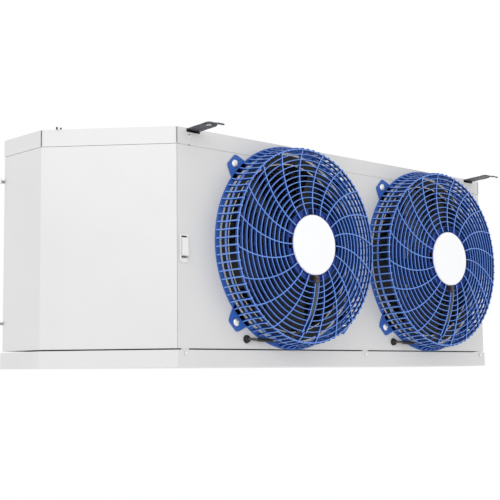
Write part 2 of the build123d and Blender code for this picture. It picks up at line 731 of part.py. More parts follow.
def terminal_block():
    """Row of screw terminals inside the box."""
    y_mid = box_front_y + BOX_WIDTH / 2
    z_mid = base_z + LINE_HEIGHT + BOX_HEIGHT / 2
    x0 = sheet_face_x + SHEET
    half_y = TERMINAL_WIDTH / 2
    half_z = TERMINAL_LENGTH / 2
    block = box(x0, x0 + TERMINAL_DEPTH, y_mid - half_y, y_mid + half_y, z_mid - half_z, z_mid + half_z)
    pitch = TERMINAL_LENGTH / TERMINALS
    y0, y1 = y_mid - 2 * half_y, y_mid + 2 * half_y
    slot = box(x0 + TERMINAL_DEPTH / 2, x0 + 2 * TERMINAL_DEPTH, y0, y1, 0, SHEET)
    for n in range(TERMINALS - 1):
        block -= Pos(0, 0, z_mid - half_z + (n + 1) * pitch) * slot
    return block


# ---- guard, motor and fan: built about the fan axis, local Z pointing out of the panel -----------
def at_fan(side):
    """Plane on the face of the fan panel, with its Z along the fan axis towards the room."""
    return Plane(origin=(fan_xs[side], -half_depth, fan_z), x_dir=(1, 0, 0), z_dir=(0, -1, 0))


def face_height(radius):
    """Height of the guard's face in front of the panel, which domes towards the hub."""
    return GUARD_DEPTH + GUARD_DOME * (GUARD_RIM_RADIUS - radius) / (GUARD_RIM_RADIUS - HUB_DISC_RADIUS)


def polar(radius, angle):
    """Point in the plane of the guard."""
    return radius * cos(radians(angle)), radius * sin(radians(angle))


def swirl(radius):
    """Angle that a spoke has turned through at a radius, on the arc that leaves the hub squarely."""
    centre = hypot(SPOKE_ROOT, SPOKE_TURN_RADIUS)
    lean = acos((radius**2 + SPOKE_ROOT**2) / (2 * radius * centre))
    return degrees(lean - atan2(SPOKE_TURN_RADIUS, SPOKE_ROOT))


def on_spoke(n, radius, shift=0.0):
    """Point of spoke n at a radius, moved sideways by shift."""
    angle = CHANNEL_ANGLE + n * 360 / SPOKES + swirl(radius)
    return polar(radius, angle + degrees(shift / radius))


def regular(radius, start=0.0):
    """Ring outline with one straight side to each spoke, which keeps its facets few."""
    return make_face(Polyline(*[polar(radius, start + n * 360 / SPOKES) for n in range(SPOKES)], close=True))


def face_lattice():
    """Plan of the guard's face: a plate with a hole between each pair of rings and spokes."""
    half = GUARD_BAR / 2
    step = (GUARD_RIM_RADIUS - HUB_PLATE_RADIUS) / (RINGS + 1)
    radii = [HUB_PLATE_RADIUS + n * step for n in range(RINGS + 2)]
    rib = CHANNEL_WIDTH / 2 + GUARD_BAR
    plan = regular(GUARD_RIM_RADIUS, CHANNEL_ANGLE + swirl(GUARD_RIM_RADIUS))
    holes = []
    for inner, outer in zip(radii, radii[1:]):
        for n in range(SPOKES):
            left = rib if n == 0 else half
            right = rib if n == SPOKES - 1 else half
            corners = [
                on_spoke(n, inner + half, left),
                on_spoke(n, outer - half, left),
                on_spoke(n + 1, outer - half, -right),
                on_spoke(n + 1, inner + half, -right),
            ]
            holes.append(Wire(Polyline(*corners, close=True).edges()))
    groove = CHANNEL_WIDTH / 2
    reach = [radii[0] + half] + radii[1:-1] + [CHANNEL_END]
    corners = [on_spoke(0, r, -groove) for r in reach] + [on_spoke(0, r, groove) for r in reversed(reach)]
    holes.append(Wire(Polyline(*corners, close=True).edges()))
    hub_radius = (HUB_DISC_RADIUS + SEAM) / cos(pi / SPOKES)
    holes.append(regular(hub_radius).face().outer_wire())
    return Face(plan.face().outer_wire(), holes)


def dome_block(drop):
    """Flat-sided block with a shallow pyramid on top, lowered by drop, that shapes the guard's face."""
    wide = (GUARD_RIM_RADIUS + GUARD_BAR) / cos(pi / DOME_SIDES)
    narrow = HUB_DISC_RADIUS / 2
    rings = []
    for radius, height in ((wide, 0), (wide, face_height(wide)), (narrow, face_height(narrow))):
        corners = [polar(radius, CHANNEL_ANGLE + n * 360 / DOME_SIDES) for n in range(DOME_SIDES)]
        rings.append([(*corner, height - drop) for corner in corners])
    outlines = [rings[0], rings[-1]]
    for low, high in zip(rings, rings[1:]):
        outlines += [[low[n - 1], low[n], high[n], high[n - 1]] for n in range(DOME_SIDES)]
    return Solid(Shell([make_face(Polyline(*outline, close=True)).face() for outline in outlines]))


def fan_guard():
    """Moulded guard: swirled spokes and rings on a domed face, rim, side bars, base ring and ears."""
    half = GUARD_BAR / 2
    guard = extrude(face_lattice(), 2 * GUARD_DEPTH) & (dome_block(0) - dome_block(FACE_DEPTH))

    base = upright(GUARD_BASE_RADIUS, 0, GUARD_BASE_THICK, SPOKES)
    for n in range(4):
        ear = Polyline(
            (EAR_SCREW_RADIUS + EAR_OUT, -EAR_HALF_WIDTH),
            (EAR_SCREW_RADIUS + EAR_OUT, EAR_HALF_WIDTH),
            (GUARD_RIM_RADIUS, EAR_ROOT_HALF_WIDTH),
            (GUARD_RIM_RADIUS, -EAR_ROOT_HALF_WIDTH),
            close=True,
        )
        base += Rot(0, 0, 45 + 90 * n) * extrude(make_face(ear), GUARD_BASE_THICK)
    guard += base - upright(GUARD_BASE_RADIUS - GUARD_BASE_WIDTH, -GUARD_BAR, 2 * GUARD_BAR, SPOKES)

    foot = (GUARD_BASE_RADIUS - GUARD_BASE_WIDTH / 2) * cos(pi / SPOKES)
    head = GUARD_RIM_RADIUS - GUARD_BAR
    top = GUARD_DEPTH - FACE_DEPTH / 2
    low = GUARD_BASE_THICK / 2
    bar = Polyline((head - half, top), (head + half, top), (foot + half, low), (foot - half, low), close=True)
    bar = extrude(Plane.XZ * make_face(bar), half, both=True)
    pitch = 360 / GUARD_BARS
    for n in range(GUARD_BARS):
        guard += Rot(0, 0, CORD_NOTCH_ANGLE + (n + 0.5) * pitch) * bar

    guard += upright(HUB_DISC_RADIUS + 2 * GUARD_BAR, plate_front - HUB_PLATE_THICK, plate_front, SPOKES)
    for n in range(4):
        x1 = HUB_PLATE_RADIUS + GUARD_BAR if n == 3 else HUB_PLATE_RADIUS - GUARD_BAR
        notch = box(HUB_DISC_RADIUS + SEAM, x1, -HUB_NOTCH / 2, HUB_NOTCH / 2, GUARD_DEPTH, 2 * GUARD_DEPTH)
        guard -= Rot(0, 0, 90 * n) * notch
    return guard


def guard_screws():
    """Large flat heads on the four ears."""
    low = GUARD_BASE_THICK
    head = upright(GUARD_SCREW_HEAD, low, low + SCREW_HEAD_THICK, SCREW_HEAD_SIDES)
    return [Pos(*polar(EAR_SCREW_RADIUS, 45 + 90 * n), 0) * head for n in range(4)]


plate_front = face_height(HUB_DISC_RADIUS) - HUB_DISC_THICK / 2
motor_front = plate_front - HUB_PLATE_THICK
motor_back = motor_front - MOTOR_LENGTH
hub_back = -FAN_HUB_SETBACK - FAN_HUB_LENGTH


def hub_disc():
    """Plain round cover over the middle of the guard."""
    return upright(HUB_DISC_RADIUS, plate_front, plate_front + HUB_DISC_THICK, SPOKES)


def motor():
    """Round motor behind the hub plate, bored for its shaft."""
    bore_radius = (SHAFT_RADIUS + SHAFT_CLEARANCE) / flats
    bore = upright(bore_radius, motor_back - SHEET, motor_back + SHAFT_SEAT + SEAM, PIN_SIDES)
    return upright(MOTOR_RADIUS, motor_back, motor_front, SPOKES) - bore


def fan_shaft():
    """Shaft from inside the motor to the far side of the fan hub."""
    return upright(SHAFT_RADIUS, hub_back, motor_back + SHAFT_SEAT)


def fan_hub():
    """Ten-sided hub pressed on the shaft, one flat to each blade."""
    hub = upright(FAN_HUB_RADIUS, hub_back, -FAN_HUB_SETBACK, FAN_HUB_SIDES)
    return hub - upright(SHAFT_RADIUS, hub_back - FAN_HUB_LENGTH, FAN_HUB_LENGTH)


def fan_blades():
    """Bent plate blades, their roots against the hub and their tips on the fan's circle."""
    half = BLADE_CHORD / 2
    rise = BLADE_THICK / 2
    points = [
        (-half, -rise),
        (0, BLADE_CAMBER - rise),
        (half, -rise),
        (half, rise),
        (0, BLADE_CAMBER + rise),
        (-half, rise),
    ]
    section = Rot(0, 0, BLADE_PITCH) * Pos(0, -BLADE_CAMBER / 2) * make_face(Polyline(*points, close=True))
    middle = -FAN_HUB_SETBACK - FAN_HUB_LENGTH / 2
    plate = extrude(Plane(origin=(0, 0, middle), x_dir=(0, 1, 0), z_dir=(1, 0, 0)) * section, FAN_RADIUS)
    tip = degrees(BLADE_TIP_WIDTH / 2 / FAN_RADIUS)
    tips = [polar(FAN_RADIUS, share * tip) for share in (-1, -0.35, 0.35, 1)]
    outline = [(0, -BLADE_ROOT_WIDTH / 2)] + tips
    plan = make_face(Polyline(*outline, (0, BLADE_ROOT_WIDTH / 2), close=True))
    turn = Rot(0, 0, 180 / FAN_HUB_SIDES)
    hub = turn * upright(FAN_HUB_RADIUS, middle - FAN_RADIUS, middle + FAN_RADIUS, FAN_HUB_SIDES)
    blade = (plate & Pos(0, 0, middle) * extrude(plan, FAN_RADIUS, both=True)) - hub
    pitch = 360 / BLADES
    return [Rot(0, 0, 90 + (n + 0.5) * pitch) * blade for n in range(BLADES)]


def motor_plug():
    """Connector in the lower notch of the hub plate."""
    y0 = -HUB_DISC_RADIUS - SEAM
    x0 = PLUG_X - PLUG_WIDTH / 2
    z0 = plate_front - PLUG_DEPTH / 2
    return box(x0, x0 + PLUG_WIDTH, y0 - PLUG_HEIGHT, y0, z0, z0 + PLUG_DEPTH)


def bend_radii(points):
    """Largest even bend at each inner point: 0.45 of the shorter run over the tangent of half the turn."""
    radii = []
    for before, here, after in zip(points, points[1:], points[2:]):
        arriving = Vector(*here) - Vector(*before)
        leaving = Vector(*after) - Vector(*here)
        turn = radians(arriving.get_angle(leaving))
        radii.append(0.45 * min(arriving.length, leaving.length) / tan(turn / 2))
    return radii


def motor_cord():
    """Cord from the plug, down the guard's channel, in behind the face and out to the grommet."""
    points = CORD_ROUTE
    radii = bend_radii(points)
    print("cord bends", [round(radius, 1) for radius in radii])
    path = FilletPolyline(*points, radius=radii)
    section = Plane(origin=points[0], z_dir=path % 0) * RegularPolygon(CORD_RADIUS, CORD_SIDES)
    cord = sweep(section, path=path)
    share = cord.volume / (section.area * path.length)
    print("cord length", round(path.length, 1), "volume against section times length", round(share, 4))
    return cord


def cord_grommet():
    """Rubber grommet where the cord enters the cabinet."""
    ring = upright(GROMMET_RADIUS, 0, GROMMET_THICK, SCREW_HEAD_SIDES)
    return Pos(GROMMET_X, GROMMET_Z, 0) * (ring - upright(GROMMET_BORE, -SHEET, 2 * GROMMET_THICK, 8))


# ---- every piece, each in its own node -----------------------------------------------------------
os.makedirs("parts", exist_ok=True)

save("top_panel", top_panel())
save("front_panel", front_panel())
closing_panel = rear_panel()
save("right_rear_panel", mirrored(closing_panel))
for line_x, line_z, line_radius in line_places().values():
    line_hole = line_radius + LINE_HOLE_CLEARANCE
    closing_panel -= along_y(line_hole, half_depth - 3 * SHEET, half_depth + SHEET, line_x, line_z, PIN_SIDES)
save("left_rear_panel", closing_panel)
save("rear_bottom_rail", rear_bottom_rail())
save("right_tube_sheet", tube_sheet())
save("left_tube_sheet", mirrored(tube_sheet()))
save("fan_partition", fan_partition())
front_hanger = hanger_bracket()
rear_hanger = mirror(front_hanger, Plane.XZ)
save("front_right_hanger", front_hanger)
save("front_left_hanger", mirrored(front_hanger))
save("rear_right_hanger", rear_hanger)
save("rear_left_hanger", mirrored(rear_hanger))

save("coil_fins", *coil_fins())
save("coil_tubes", *coil_tubes())
save("return_bends", *return_bends())
save("suction_header", suction_header())
save("liquid_line", liquid_line())
save("expansion_valve", expansion_valve())
save("feeder_line", feeder_line())

save("junction_box", junction_box())
save("junction_box_cover", junction_box_cover())
save("terminal_block", terminal_block())

door = end_door()
lugs = door_lugs()
brackets = hinge_brackets()
save("right_end_door", door)
save("left_end_door", mirrored(door))
save("right_door_lugs", *lugs)
save("left_door_lugs", *[mirrored(lug) for lug in lugs])
save("door_hinge_brackets", *brackets, *[mirrored(bracket) for bracket in brackets])
save("latch_base", latch_base())
save("latch_lever", latch_lever())

save("drain_pan", drain_pan())
save("drain_fitting", drain_fitting())
save("drain_nut", drain_nut())
save("pan_hinge_brackets", *pan_hinge_brackets())
save("pan_hinge_lugs", *pan_lugs())
save("pan_tabs", *pan_tabs())
save("pan_screws", *pan_screws())

# Turning pieces, and the guard, in a node for each fan; the fixed pairs share one node.
fan_pieces = {
    "fan_guard": [fan_guard()],
    "fan_shaft": [fan_shaft()],
    "fan_hub": [fan_hub()],
    "fan_blades": fan_blades(),
}
for fan_side in fan_xs:
    for name, pieces in fan_pieces.items():
        save(f"{fan_side}_{name}", *[at_fan(fan_side) * piece for piece in pieces])

fixed_pieces = {
    "guard_screws": guard_screws(),
    "hub_discs": [hub_disc()],
    "fan_motors": [motor()],
    "motor_plugs": [motor_plug()],
    "motor_cords": [motor_cord()],
    "cord_grommets": [cord_grommet()],
}
for name, pieces in fixed_pieces.items():
    save(name, *[at_fan(fan_side) * piece for fan_side in fan_xs for piece in pieces])
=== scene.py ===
# %% [markdown]
# # Walk-in unit cooler
# A low, wide cabinet hangs from the ceiling of a cold room. Its two fans pull air through a finned
# coil at the back and blow it out through blue guards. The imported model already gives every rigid
# size and place. This lesson dresses it, piece by piece, with finishes and with the fine parts that
# the solids leave out.

# %% Load the frame
import bpy
import bmesh
import json
from math import acos, atan2, cos, degrees, hypot, pi, radians, sin, sqrt
from mathutils import Matrix, Vector


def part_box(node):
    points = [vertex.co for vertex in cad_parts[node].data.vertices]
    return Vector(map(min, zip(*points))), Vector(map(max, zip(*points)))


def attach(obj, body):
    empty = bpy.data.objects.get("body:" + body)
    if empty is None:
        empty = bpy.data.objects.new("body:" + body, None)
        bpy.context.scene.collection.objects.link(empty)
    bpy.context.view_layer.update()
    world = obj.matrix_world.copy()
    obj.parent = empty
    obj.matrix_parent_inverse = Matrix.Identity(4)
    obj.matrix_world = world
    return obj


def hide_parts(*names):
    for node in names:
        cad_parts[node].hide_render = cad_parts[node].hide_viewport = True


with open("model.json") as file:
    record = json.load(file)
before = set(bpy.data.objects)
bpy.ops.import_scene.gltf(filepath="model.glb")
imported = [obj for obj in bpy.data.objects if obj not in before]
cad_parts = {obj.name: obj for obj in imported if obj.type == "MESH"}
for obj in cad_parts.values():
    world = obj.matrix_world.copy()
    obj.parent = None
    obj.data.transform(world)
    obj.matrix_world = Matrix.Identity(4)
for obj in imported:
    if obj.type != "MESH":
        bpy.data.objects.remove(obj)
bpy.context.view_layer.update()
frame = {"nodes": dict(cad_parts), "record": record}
print("solids to dress", len(frame["nodes"]))

# %% [markdown]
# ## Camera
# The unit is seen from in front of its left end and from a little below its middle, as someone who
# stands in the room sees it. The camera could be aimed at a target, but a target can't hold a small
# roll. So it has a place, a heading from +Y towards +X, a tilt upwards and a roll, in radians. The
# long lens keeps the upright edges nearly parallel.

# %% Camera
heading = 0.7583
tilt = 0.1099
roll = -0.011
camera = bpy.data.objects.new("camera", bpy.data.cameras.new("camera"))
bpy.context.scene.collection.objects.link(camera)
camera.location = (-2.452, -2.389, -0.636)
look = Vector((sin(heading) * cos(tilt), cos(heading) * cos(tilt), sin(tilt)))
aimed = look.to_track_quat("-Z", "Y").to_matrix().to_4x4()
camera.rotation_euler = (aimed @ Matrix.Rotation(roll, 4, "Z")).to_euler()
camera.data.lens = 81.1
bpy.context.scene.camera = camera
print("camera looks along", [round(v, 3) for v in look])

# %% [markdown]
# ## Light
# Pale sheet metal needs soft light from almost everywhere, or its flat faces go grey. A studio could
# be built from many lamps and white walls. A plain white world does the same with one setting, and
# shows nothing but white in the metal. Colours are given as sRGB hex codes, as in a paint chart, and
# one function turns them into the linear values that the shaders work in.

# %% White world
def hex_colour(code):
    """Linear colour with alpha from an sRGB hex code."""
    parts = [int(code[n : n + 2], 16) / 255 for n in (1, 3, 5)]
    linear = [p / 12.92 if p <= 0.04045 else ((p + 0.055) / 1.055) ** 2.4 for p in parts]
    return (*linear, 1.0)


world = bpy.data.worlds.new("white room")
bpy.context.scene.world = world
world.use_nodes = True
sky = world.node_tree.nodes["Background"]
sky.inputs["Color"].default_value = hex_colour("#FFFFFF")
sky.inputs["Strength"].default_value = 1.0
bpy.context.scene.view_settings.view_transform = "Standard"
print("world strength", sky.inputs["Strength"].default_value)

# %% [markdown]
# An even world alone would give all the faces of the cabinet one tone. One large lamp from the front
# left makes the angled corner the brightest face, so that each fold reads as a change of tone. It is
# an area lamp 2 m wide, because a small one would leave hard shadows of the guards.

# %% Key lamp
lamp_place = Vector((-3.4, -2.2, 1.2))
lamp_target = Vector((-0.6, 0, -0.3))
lamp_data = bpy.data.lights.new("key lamp", "AREA")
lamp_data.size = 2.0
lamp_data.energy = 29
lamp = bpy.data.objects.new("key lamp", lamp_data)
lamp.location = lamp_place
lamp.rotation_euler = (lamp_target - lamp_place).to_track_quat("-Z", "Y").to_euler()
bpy.context.scene.collection.objects.link(lamp)
print("lamp stands", round((lamp_target - lamp_place).length, 2), "m from the cabinet")

# %% [markdown]
# ## Handing over a piece
# Pieces are drawn in millimetres, as on a workshop drawing, and become objects in metres. Every
# piece then needs the same few things: a mesh with its normals facing out, its materials, the body
# that it moves with, and the solids that it stands for, which are then hidden. One function does it
# all, so that no piece misses a step. Edges sharper than 35 degrees stay crisp, and all others are
# shaded smooth.

# %% Finish and dress
MM = 0.001
UNIT = Matrix.Scale(MM, 4)
CRISP = radians(35)


def finish_mesh(name, bm, place, materials):
    """Turn a bmesh in millimetres into an object."""
    bmesh.ops.recalc_face_normals(bm, faces=bm.faces)
    mesh = bpy.data.meshes.new(name)
    bm.to_mesh(mesh)
    bm.free()
    mesh.transform(place)
    if place.determinant() < 0:
        mesh.flip_normals()
    mesh.shade_smooth()
    mesh.set_sharp_from_angle(angle=CRISP)
    for material in materials:
        mesh.materials.append(material)
    obj = bpy.data.objects.new(name, mesh)
    bpy.context.scene.collection.objects.link(obj)
    return obj


def dress(name, bm, place, materials, body, slot, *replaced):
    """Finish a piece, fix it to its body and hide the solids that it stands for; slot is not used."""
    obj = finish_mesh(name, bm, place, materials)
    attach(obj, body)
    if replaced:
        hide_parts(*replaced)
    return obj


print("pieces are drawn in units of", MM, "m")

# %% [markdown]
# ## Tools for finishes
# Every finish starts as one Principled shader with typical values, and gets patterns wired into its
# colour and its normal. Nodes could be placed by hand in the editor. A few small functions make the
# same trees and keep each finish to some lines: one adds any node, one mixes two colours, and one
# turns a height pattern into a normal. The size of each pattern is given in millimetres. Where it is
# drawn coarser than the real one, the text says so.

# %% Finish tools
def surface(name, code, roughness, metallic=0.0, ior=None):
    """A named material with one shader; its constant values stay on the shader's own sockets."""
    material = bpy.data.materials.new(name)
    material.use_nodes = True
    tree = material.node_tree
    shader = tree.nodes["Principled BSDF"]
    shader.inputs["Base Color"].default_value = hex_colour(code)
    shader.inputs["Roughness"].default_value = roughness
    shader.inputs["Metallic"].default_value = metallic
    if ior:
        shader.inputs["IOR"].default_value = ior
    material.diffuse_color = hex_colour(code)
    return material, tree, shader


def add(tree, kind, links=None, **settings):
    """Add one node: settings are its own, links maps each input to a value or to another socket."""
    node = tree.nodes.new(kind)
    for key, value in settings.items():
        setattr(node, key, value)
    for key, value in (links or {}).items():
        if isinstance(value, bpy.types.NodeSocket):
            tree.links.new(value, node.inputs[key])
        else:
            node.inputs[key].default_value = value
    return node


def per_metre(millimetres):
    """Texture scale of a pattern that repeats every so many millimetres."""
    return 1000 / millimetres


def blend(tree, share, code, other):
    """Colour between two hex codes, by a share from 0 to 1."""
    ends = {"Factor": share, "A": hex_colour(code), "B": hex_colour(other)}
    return add(tree, "ShaderNodeMix", ends, data_type="RGBA").outputs["Result"]


def emboss(tree, height, strength, depth):
    """Normal from a height pattern: depth is that of the real relief, in millimetres."""
    relief = {"Height": height, "Strength": strength, "Distance": depth * MM}
    return add(tree, "ShaderNodeBump", relief).outputs["Normal"]


print("a 4 mm pattern repeats", per_metre(4), "times a metre")

# %% [markdown]
# ## Stucco aluminium
# The cabinet is thin aluminium sheet with a pebbled pattern rolled into it, called stucco, which
# hides dents and fingerprints. It is bright but only half matt, so it takes the white of the room
# and still shows each fold. The pebbles could be real geometry, but that is far too many faces. A
# bump from Voronoi cells gives them for nothing. The real ones are about 3 mm across and would vanish
# at this distance, so they are drawn at 7 mm. A wide, faint cloud keeps large faces from looking flat.

# %% Stucco aluminium
PEBBLE = 7
CLOUD = 220
stucco_aluminium, tree, shader = surface("stucco embossed aluminium", "#D5D5D5", 0.45, 0.15)
spot = add(tree, "ShaderNodeTexCoord").outputs["Object"]
pebbles = add(
    tree,
    "ShaderNodeTexVoronoi",
    {"Vector": spot, "Scale": per_metre(PEBBLE), "Randomness": 0.9},
    feature="SMOOTH_F1",
)
cloud = add(tree, "ShaderNodeTexNoise", {"Vector": spot, "Scale": per_metre(CLOUD), "Detail": 3})
tree.links.new(blend(tree, cloud.outputs["Fac"], "#D2D1D1", "#DADADA"), shader.inputs["Base Color"])
tree.links.new(emboss(tree, pebbles.outputs["Distance"], 0.12, 1), shader.inputs["Normal"])
print("stucco drawn at", PEBBLE, "mm")

# %% [markdown]
# ## Rolled, drawn and turned metals
# The sheets inside are plain aluminium as it leaves the mill, the coil is copper and aluminium, the
# pins and screws are plated steel, and the drain fitting is turned brass. Rolling and drawing leave
# fine lines along the work. An image of scratches could show them, but noise squeezed across the lines
# needs no image and never repeats. Real lines lie well under 1 mm apart. They are drawn 3 to 12 mm apart,
# so that they show. All are metals, so metallic is 1 and the colour is the metal's own.

# %% Bright metals
def rolled(name, code, light, squeeze, grain, roughness):
    """Metal with fine lines: squeeze says how the noise is scaled along each axis."""
    material, tree, shader = surface(name, code, roughness, 1.0)
    spot = add(tree, "ShaderNodeTexCoord").outputs["Object"]
    squeezed = add(tree, "ShaderNodeMapping", {"Vector": spot, "Scale": squeeze}).outputs["Vector"]
    noise = {"Vector": squeezed, "Scale": per_metre(grain), "Detail": 4}
    lines = add(tree, "ShaderNodeTexNoise", noise).outputs["Fac"]
    tree.links.new(blend(tree, lines, code, light), shader.inputs["Base Color"])
    tree.links.new(emboss(tree, lines, 0.08, 0.5), shader.inputs["Normal"])
    return material


ALONG_X = (0.1, 1, 1)
ALONG_Z = (1, 1, 0.1)
EVEN = (1, 1, 1)
mill_aluminium = rolled("mill finish aluminium", "#C4C8CC", "#D8DBDE", ALONG_X, 4, 0.38)
fin_aluminium = rolled("coil fin aluminium", "#CDD1D5", "#DFE2E5", ALONG_Z, 5, 0.42)
drawn_copper = rolled("drawn copper tube", "#B87A52", "#D29A70", ALONG_X, 12, 0.34)
turned_brass = rolled("turned brass", "#B8934C", "#D2B270", EVEN, 3, 0.30)
zinc_steel = rolled("zinc plated steel", "#B4B7BA", "#CBCED1", EVEN, 6, 0.34)
bright_screw = rolled("bright nickel screw", "#DDDEE0", "#F2F2F3", EVEN, 3, 0.28)
metals = [mill_aluminium, fin_aluminium, drawn_copper, turned_brass, zinc_steel, bright_screw]
print("bright metals", [material.name for material in metals])

# %% [markdown]
# ## Galvanised steel
# The hanger straps and the junction box are dipped in molten zinc, which freezes into flat crystals
# called spangle, each with its own grey. Painted spots would look soft. Voronoi cells with one random
# tone each have the straight borders of real crystals, and are as large as those: 6 mm on the thin
# strip and 9 mm on the box. The straps are drawn darker and rather dull.

# %% Galvanised steel
def spangled(name, dark, light, crystal, roughness):
    """Zinc crystals of a size in millimetres: each takes one tone between dark and light."""
    material, tree, shader = surface(name, dark, roughness, 0.85)
    spot = add(tree, "ShaderNodeTexCoord").outputs["Object"]
    crystals = add(tree, "ShaderNodeTexVoronoi", {"Vector": spot, "Scale": per_metre(crystal)})
    tone = add(tree, "ShaderNodeSeparateColor", {"Color": crystals.outputs["Color"]}).outputs["Red"]
    tree.links.new(blend(tree, tone, dark, light), shader.inputs["Base Color"])
    return material


dark_galvanised = spangled("dark dull galvanised steel", "#4A4C50", "#6E7075", 6, 0.5)
box_galvanised = spangled("galvanised steel box", "#9A9DA1", "#B9BCC0", 9, 0.42)
print("zinc finishes", dark_galvanised.name, "and", box_galvanised.name)

# %% [markdown]
# ## Plastics and rubber
# Moulded plastic is coloured right through, so it has no grain: only a faint drift of colour where
# the melt flowed, and the fine texture of the mould, some 3 to 5 mm apart here so that it shows. One
# function makes them all, with an IOR of 1.5, which suits most plastics.
#
# The guards are blue polypropylene. Their thin front edges catch the light and look far paler than
# their deep sides, while the seat behind the hub disc lies in shade. Light alone doesn't part them
# enough in so white a room, so light and shade are painted into copies of the one blue: a painted
# highlight on the edges, painted light on the broad flats and painted shade on the seat, while the
# sides keep the deep blue. The blades are glass-filled nylon, dull and nearly black. The disc is ABS,
# the latch is acetal, the cord has a PVC jacket, and its gland is rubber with a slight bloom.

# %% Plastics and rubber
def moulded(name, code, other, roughness, texture, strength, ior=1.5):
    """Moulded plastic, with the size of the mould's texture in millimetres."""
    material, tree, shader = surface(name, code, roughness, 0.0, ior)
    spot = add(tree, "ShaderNodeTexCoord").outputs["Object"]
    flow = {"Vector": spot, "Scale": per_metre(60), "Detail": 2}
    drift = add(tree, "ShaderNodeTexNoise", flow).outputs["Fac"]
    mould = {"Vector": spot, "Scale": per_metre(texture), "Detail": 2}
    relief = add(tree, "ShaderNodeTexNoise", mould).outputs["Fac"]
    tree.links.new(blend(tree, drift, code, other), shader.inputs["Base Color"])
    tree.links.new(emboss(tree, relief, strength, 0.4), shader.inputs["Normal"])
    return material


# Four blues of one plastic: the deep one for the sides, then a painted highlight for the front edges,
# painted light for the broad flats and painted shade for the seat.
blue_polypropylene = moulded("deep blue polypropylene", "#0B3780", "#12418E", 0.36, 4, 0.05)
painted_highlight_blue = moulded("blue polypropylene painted highlight", "#5C88D8", "#7199E4", 0.30, 4, 0.03)
painted_light_flat_blue = moulded("blue polypropylene painted light flat", "#2153A6", "#2A5DB0", 0.36, 4, 0.05)
blue_shade = moulded("shaded blue polypropylene", "#062A7C", "#0A338A", 0.45, 4, 0.05)
white_abs = moulded("white ABS disc", "#F1F2F4", "#F6F6F7", 0.30, 5, 0.03)
black_nylon = moulded("glass-filled black nylon", "#101115", "#17181C", 0.66, 3, 0.10)
motor_enamel = moulded("black motor enamel", "#15161A", "#1F2126", 0.36, 5, 0.06)
pvc_jacket = moulded("grey PVC cord jacket", "#403C3A", "#4C4845", 0.48, 3, 0.06)
plug_nylon = moulded("brown nylon connector", "#3D3533", "#4A413E", 0.50, 3, 0.08)
black_rubber = moulded("black EPDM rubber", "#0E0E0F", "#1A1A1B", 0.62, 3, 0.12)
white_acetal = moulded("white acetal latch", "#DEDEDE", "#E6E6E6", 0.40, 4, 0.05)
black_phenolic = moulded("black phenolic block", "#191919", "#242424", 0.45, 3, 0.05)
guard_blues = [blue_polypropylene, painted_highlight_blue, painted_light_flat_blue, blue_shade]
SIDE, HIGHLIGHT, LIT_FLAT, SHADE = range(len(guard_blues))
print("blues of the guard", [material.name for material in guard_blues])

# %% [markdown]
# ## Solids that keep their own shape
# Folded sheets, doors, the drain pan, pipes and hinges are already true to the real ones, so they need
# a finish and nothing else. Each solid's record names its slot, and the slot picks the material.

# %% Dress the solids
finish_of = {
    "cabinet_sheet": stucco_aluminium,
    "inner_sheet": mill_aluminium,
    "fin_stock": fin_aluminium,
    "copper": drawn_copper,
    "brass_fittings": turned_brass,
    "galvanised_strap": dark_galvanised,
    "hinge_steel": zinc_steel,
    "screw_steel": bright_screw,
    "blue_guard": blue_polypropylene,
    "white_disc": white_abs,
    "motor_black": motor_enamel,
    "fan_dark": black_nylon,
    "cord_jacket": pvc_jacket,
    "plug_plastic": plug_nylon,
    "black_rubber": black_rubber,
    "latch_plastic": white_acetal,
    "box_steel": box_galvanised,
    "terminal_plastic": black_phenolic,
}
for part in frame["record"]["subparts"]:
    solid = frame["nodes"][part["node"]]
    solid.data.materials.clear()
    solid.data.materials.append(finish_of[part["material_slot"]])
print("slots", len(finish_of))

# %% [markdown]
# ## Places of the two fans
# Both fans are the same, so each of their pieces is drawn once about its own axis and set down twice.
# Objects could be moved into place by hand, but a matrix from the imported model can't drift. The box
# of each guard gives the fan's axis and the face of the panel. The matrix takes X across, Y up and Z
# out towards the room, in millimetres, to the frame of the unit.

# %% Fan places
def fan_place(side):
    """Matrix from a fan's own frame to the unit's frame."""
    low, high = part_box(f"{side}_fan_guard")
    x = (low.x + high.x) / 2
    z = (low.z + high.z) / 2
    return Matrix(((MM, 0, 0, x), (0, 0, -MM, high.y), (0, MM, 0, z), (0, 0, 0, 1)))


fans = {side: fan_place(side) for side in ("left", "right")}
for side, place in fans.items():
    print(side, "fan axis at", [round(v, 4) for v in place.translation])

# %% [markdown]
# ## Guard: its curves
# The guard is one moulding that keeps fingers out and lets air through. Its face is slightly domed,
# so that a knock springs back, and its spokes swirl, because a curved spoke crosses the blades a little
# at a time and hums less. A drawn curve for every spoke would be hard to keep even. Instead the swirl is
# an arc that leaves the hub squarely, and every spoke is that same arc turned by 18 degrees. Only the
# bottom one is out of step: it is a pair of ribs that hold the cord between them.

# %% Guard: sizes
RIM = 266.0  # ring round the face
HUB = 100.0  # innermost ring of the face
DISC = 82.0  # white disc
BASE = 281.0  # flat ring on the panel
DEPTH = 70.0  # rim above the panel
DOME = 21.0  # rise of the face from the rim to the disc
SPOKES = 20
ROOT = 85.0  # where the arc of a spoke leaves the hub
SWIRL = 232.0  # radius of that arc
FIRST_SPOKE = -88.0  # degrees from X
CHANNEL_ANGLE = -84.0  # the pair of ribs for the cord
CHANNEL_HALF = 7.3  # from the middle of the channel to each rib
CHANNEL_END = 238.0  # where the two ribs become one again
print("guard", 2 * BASE, "mm across, stands", DEPTH + DOME, "mm off the panel")

# %% Guard: curves
def face_height(radius):
    """Front of the guard above the panel."""
    return DEPTH + DOME * (RIM - radius) / (RIM - DISC)


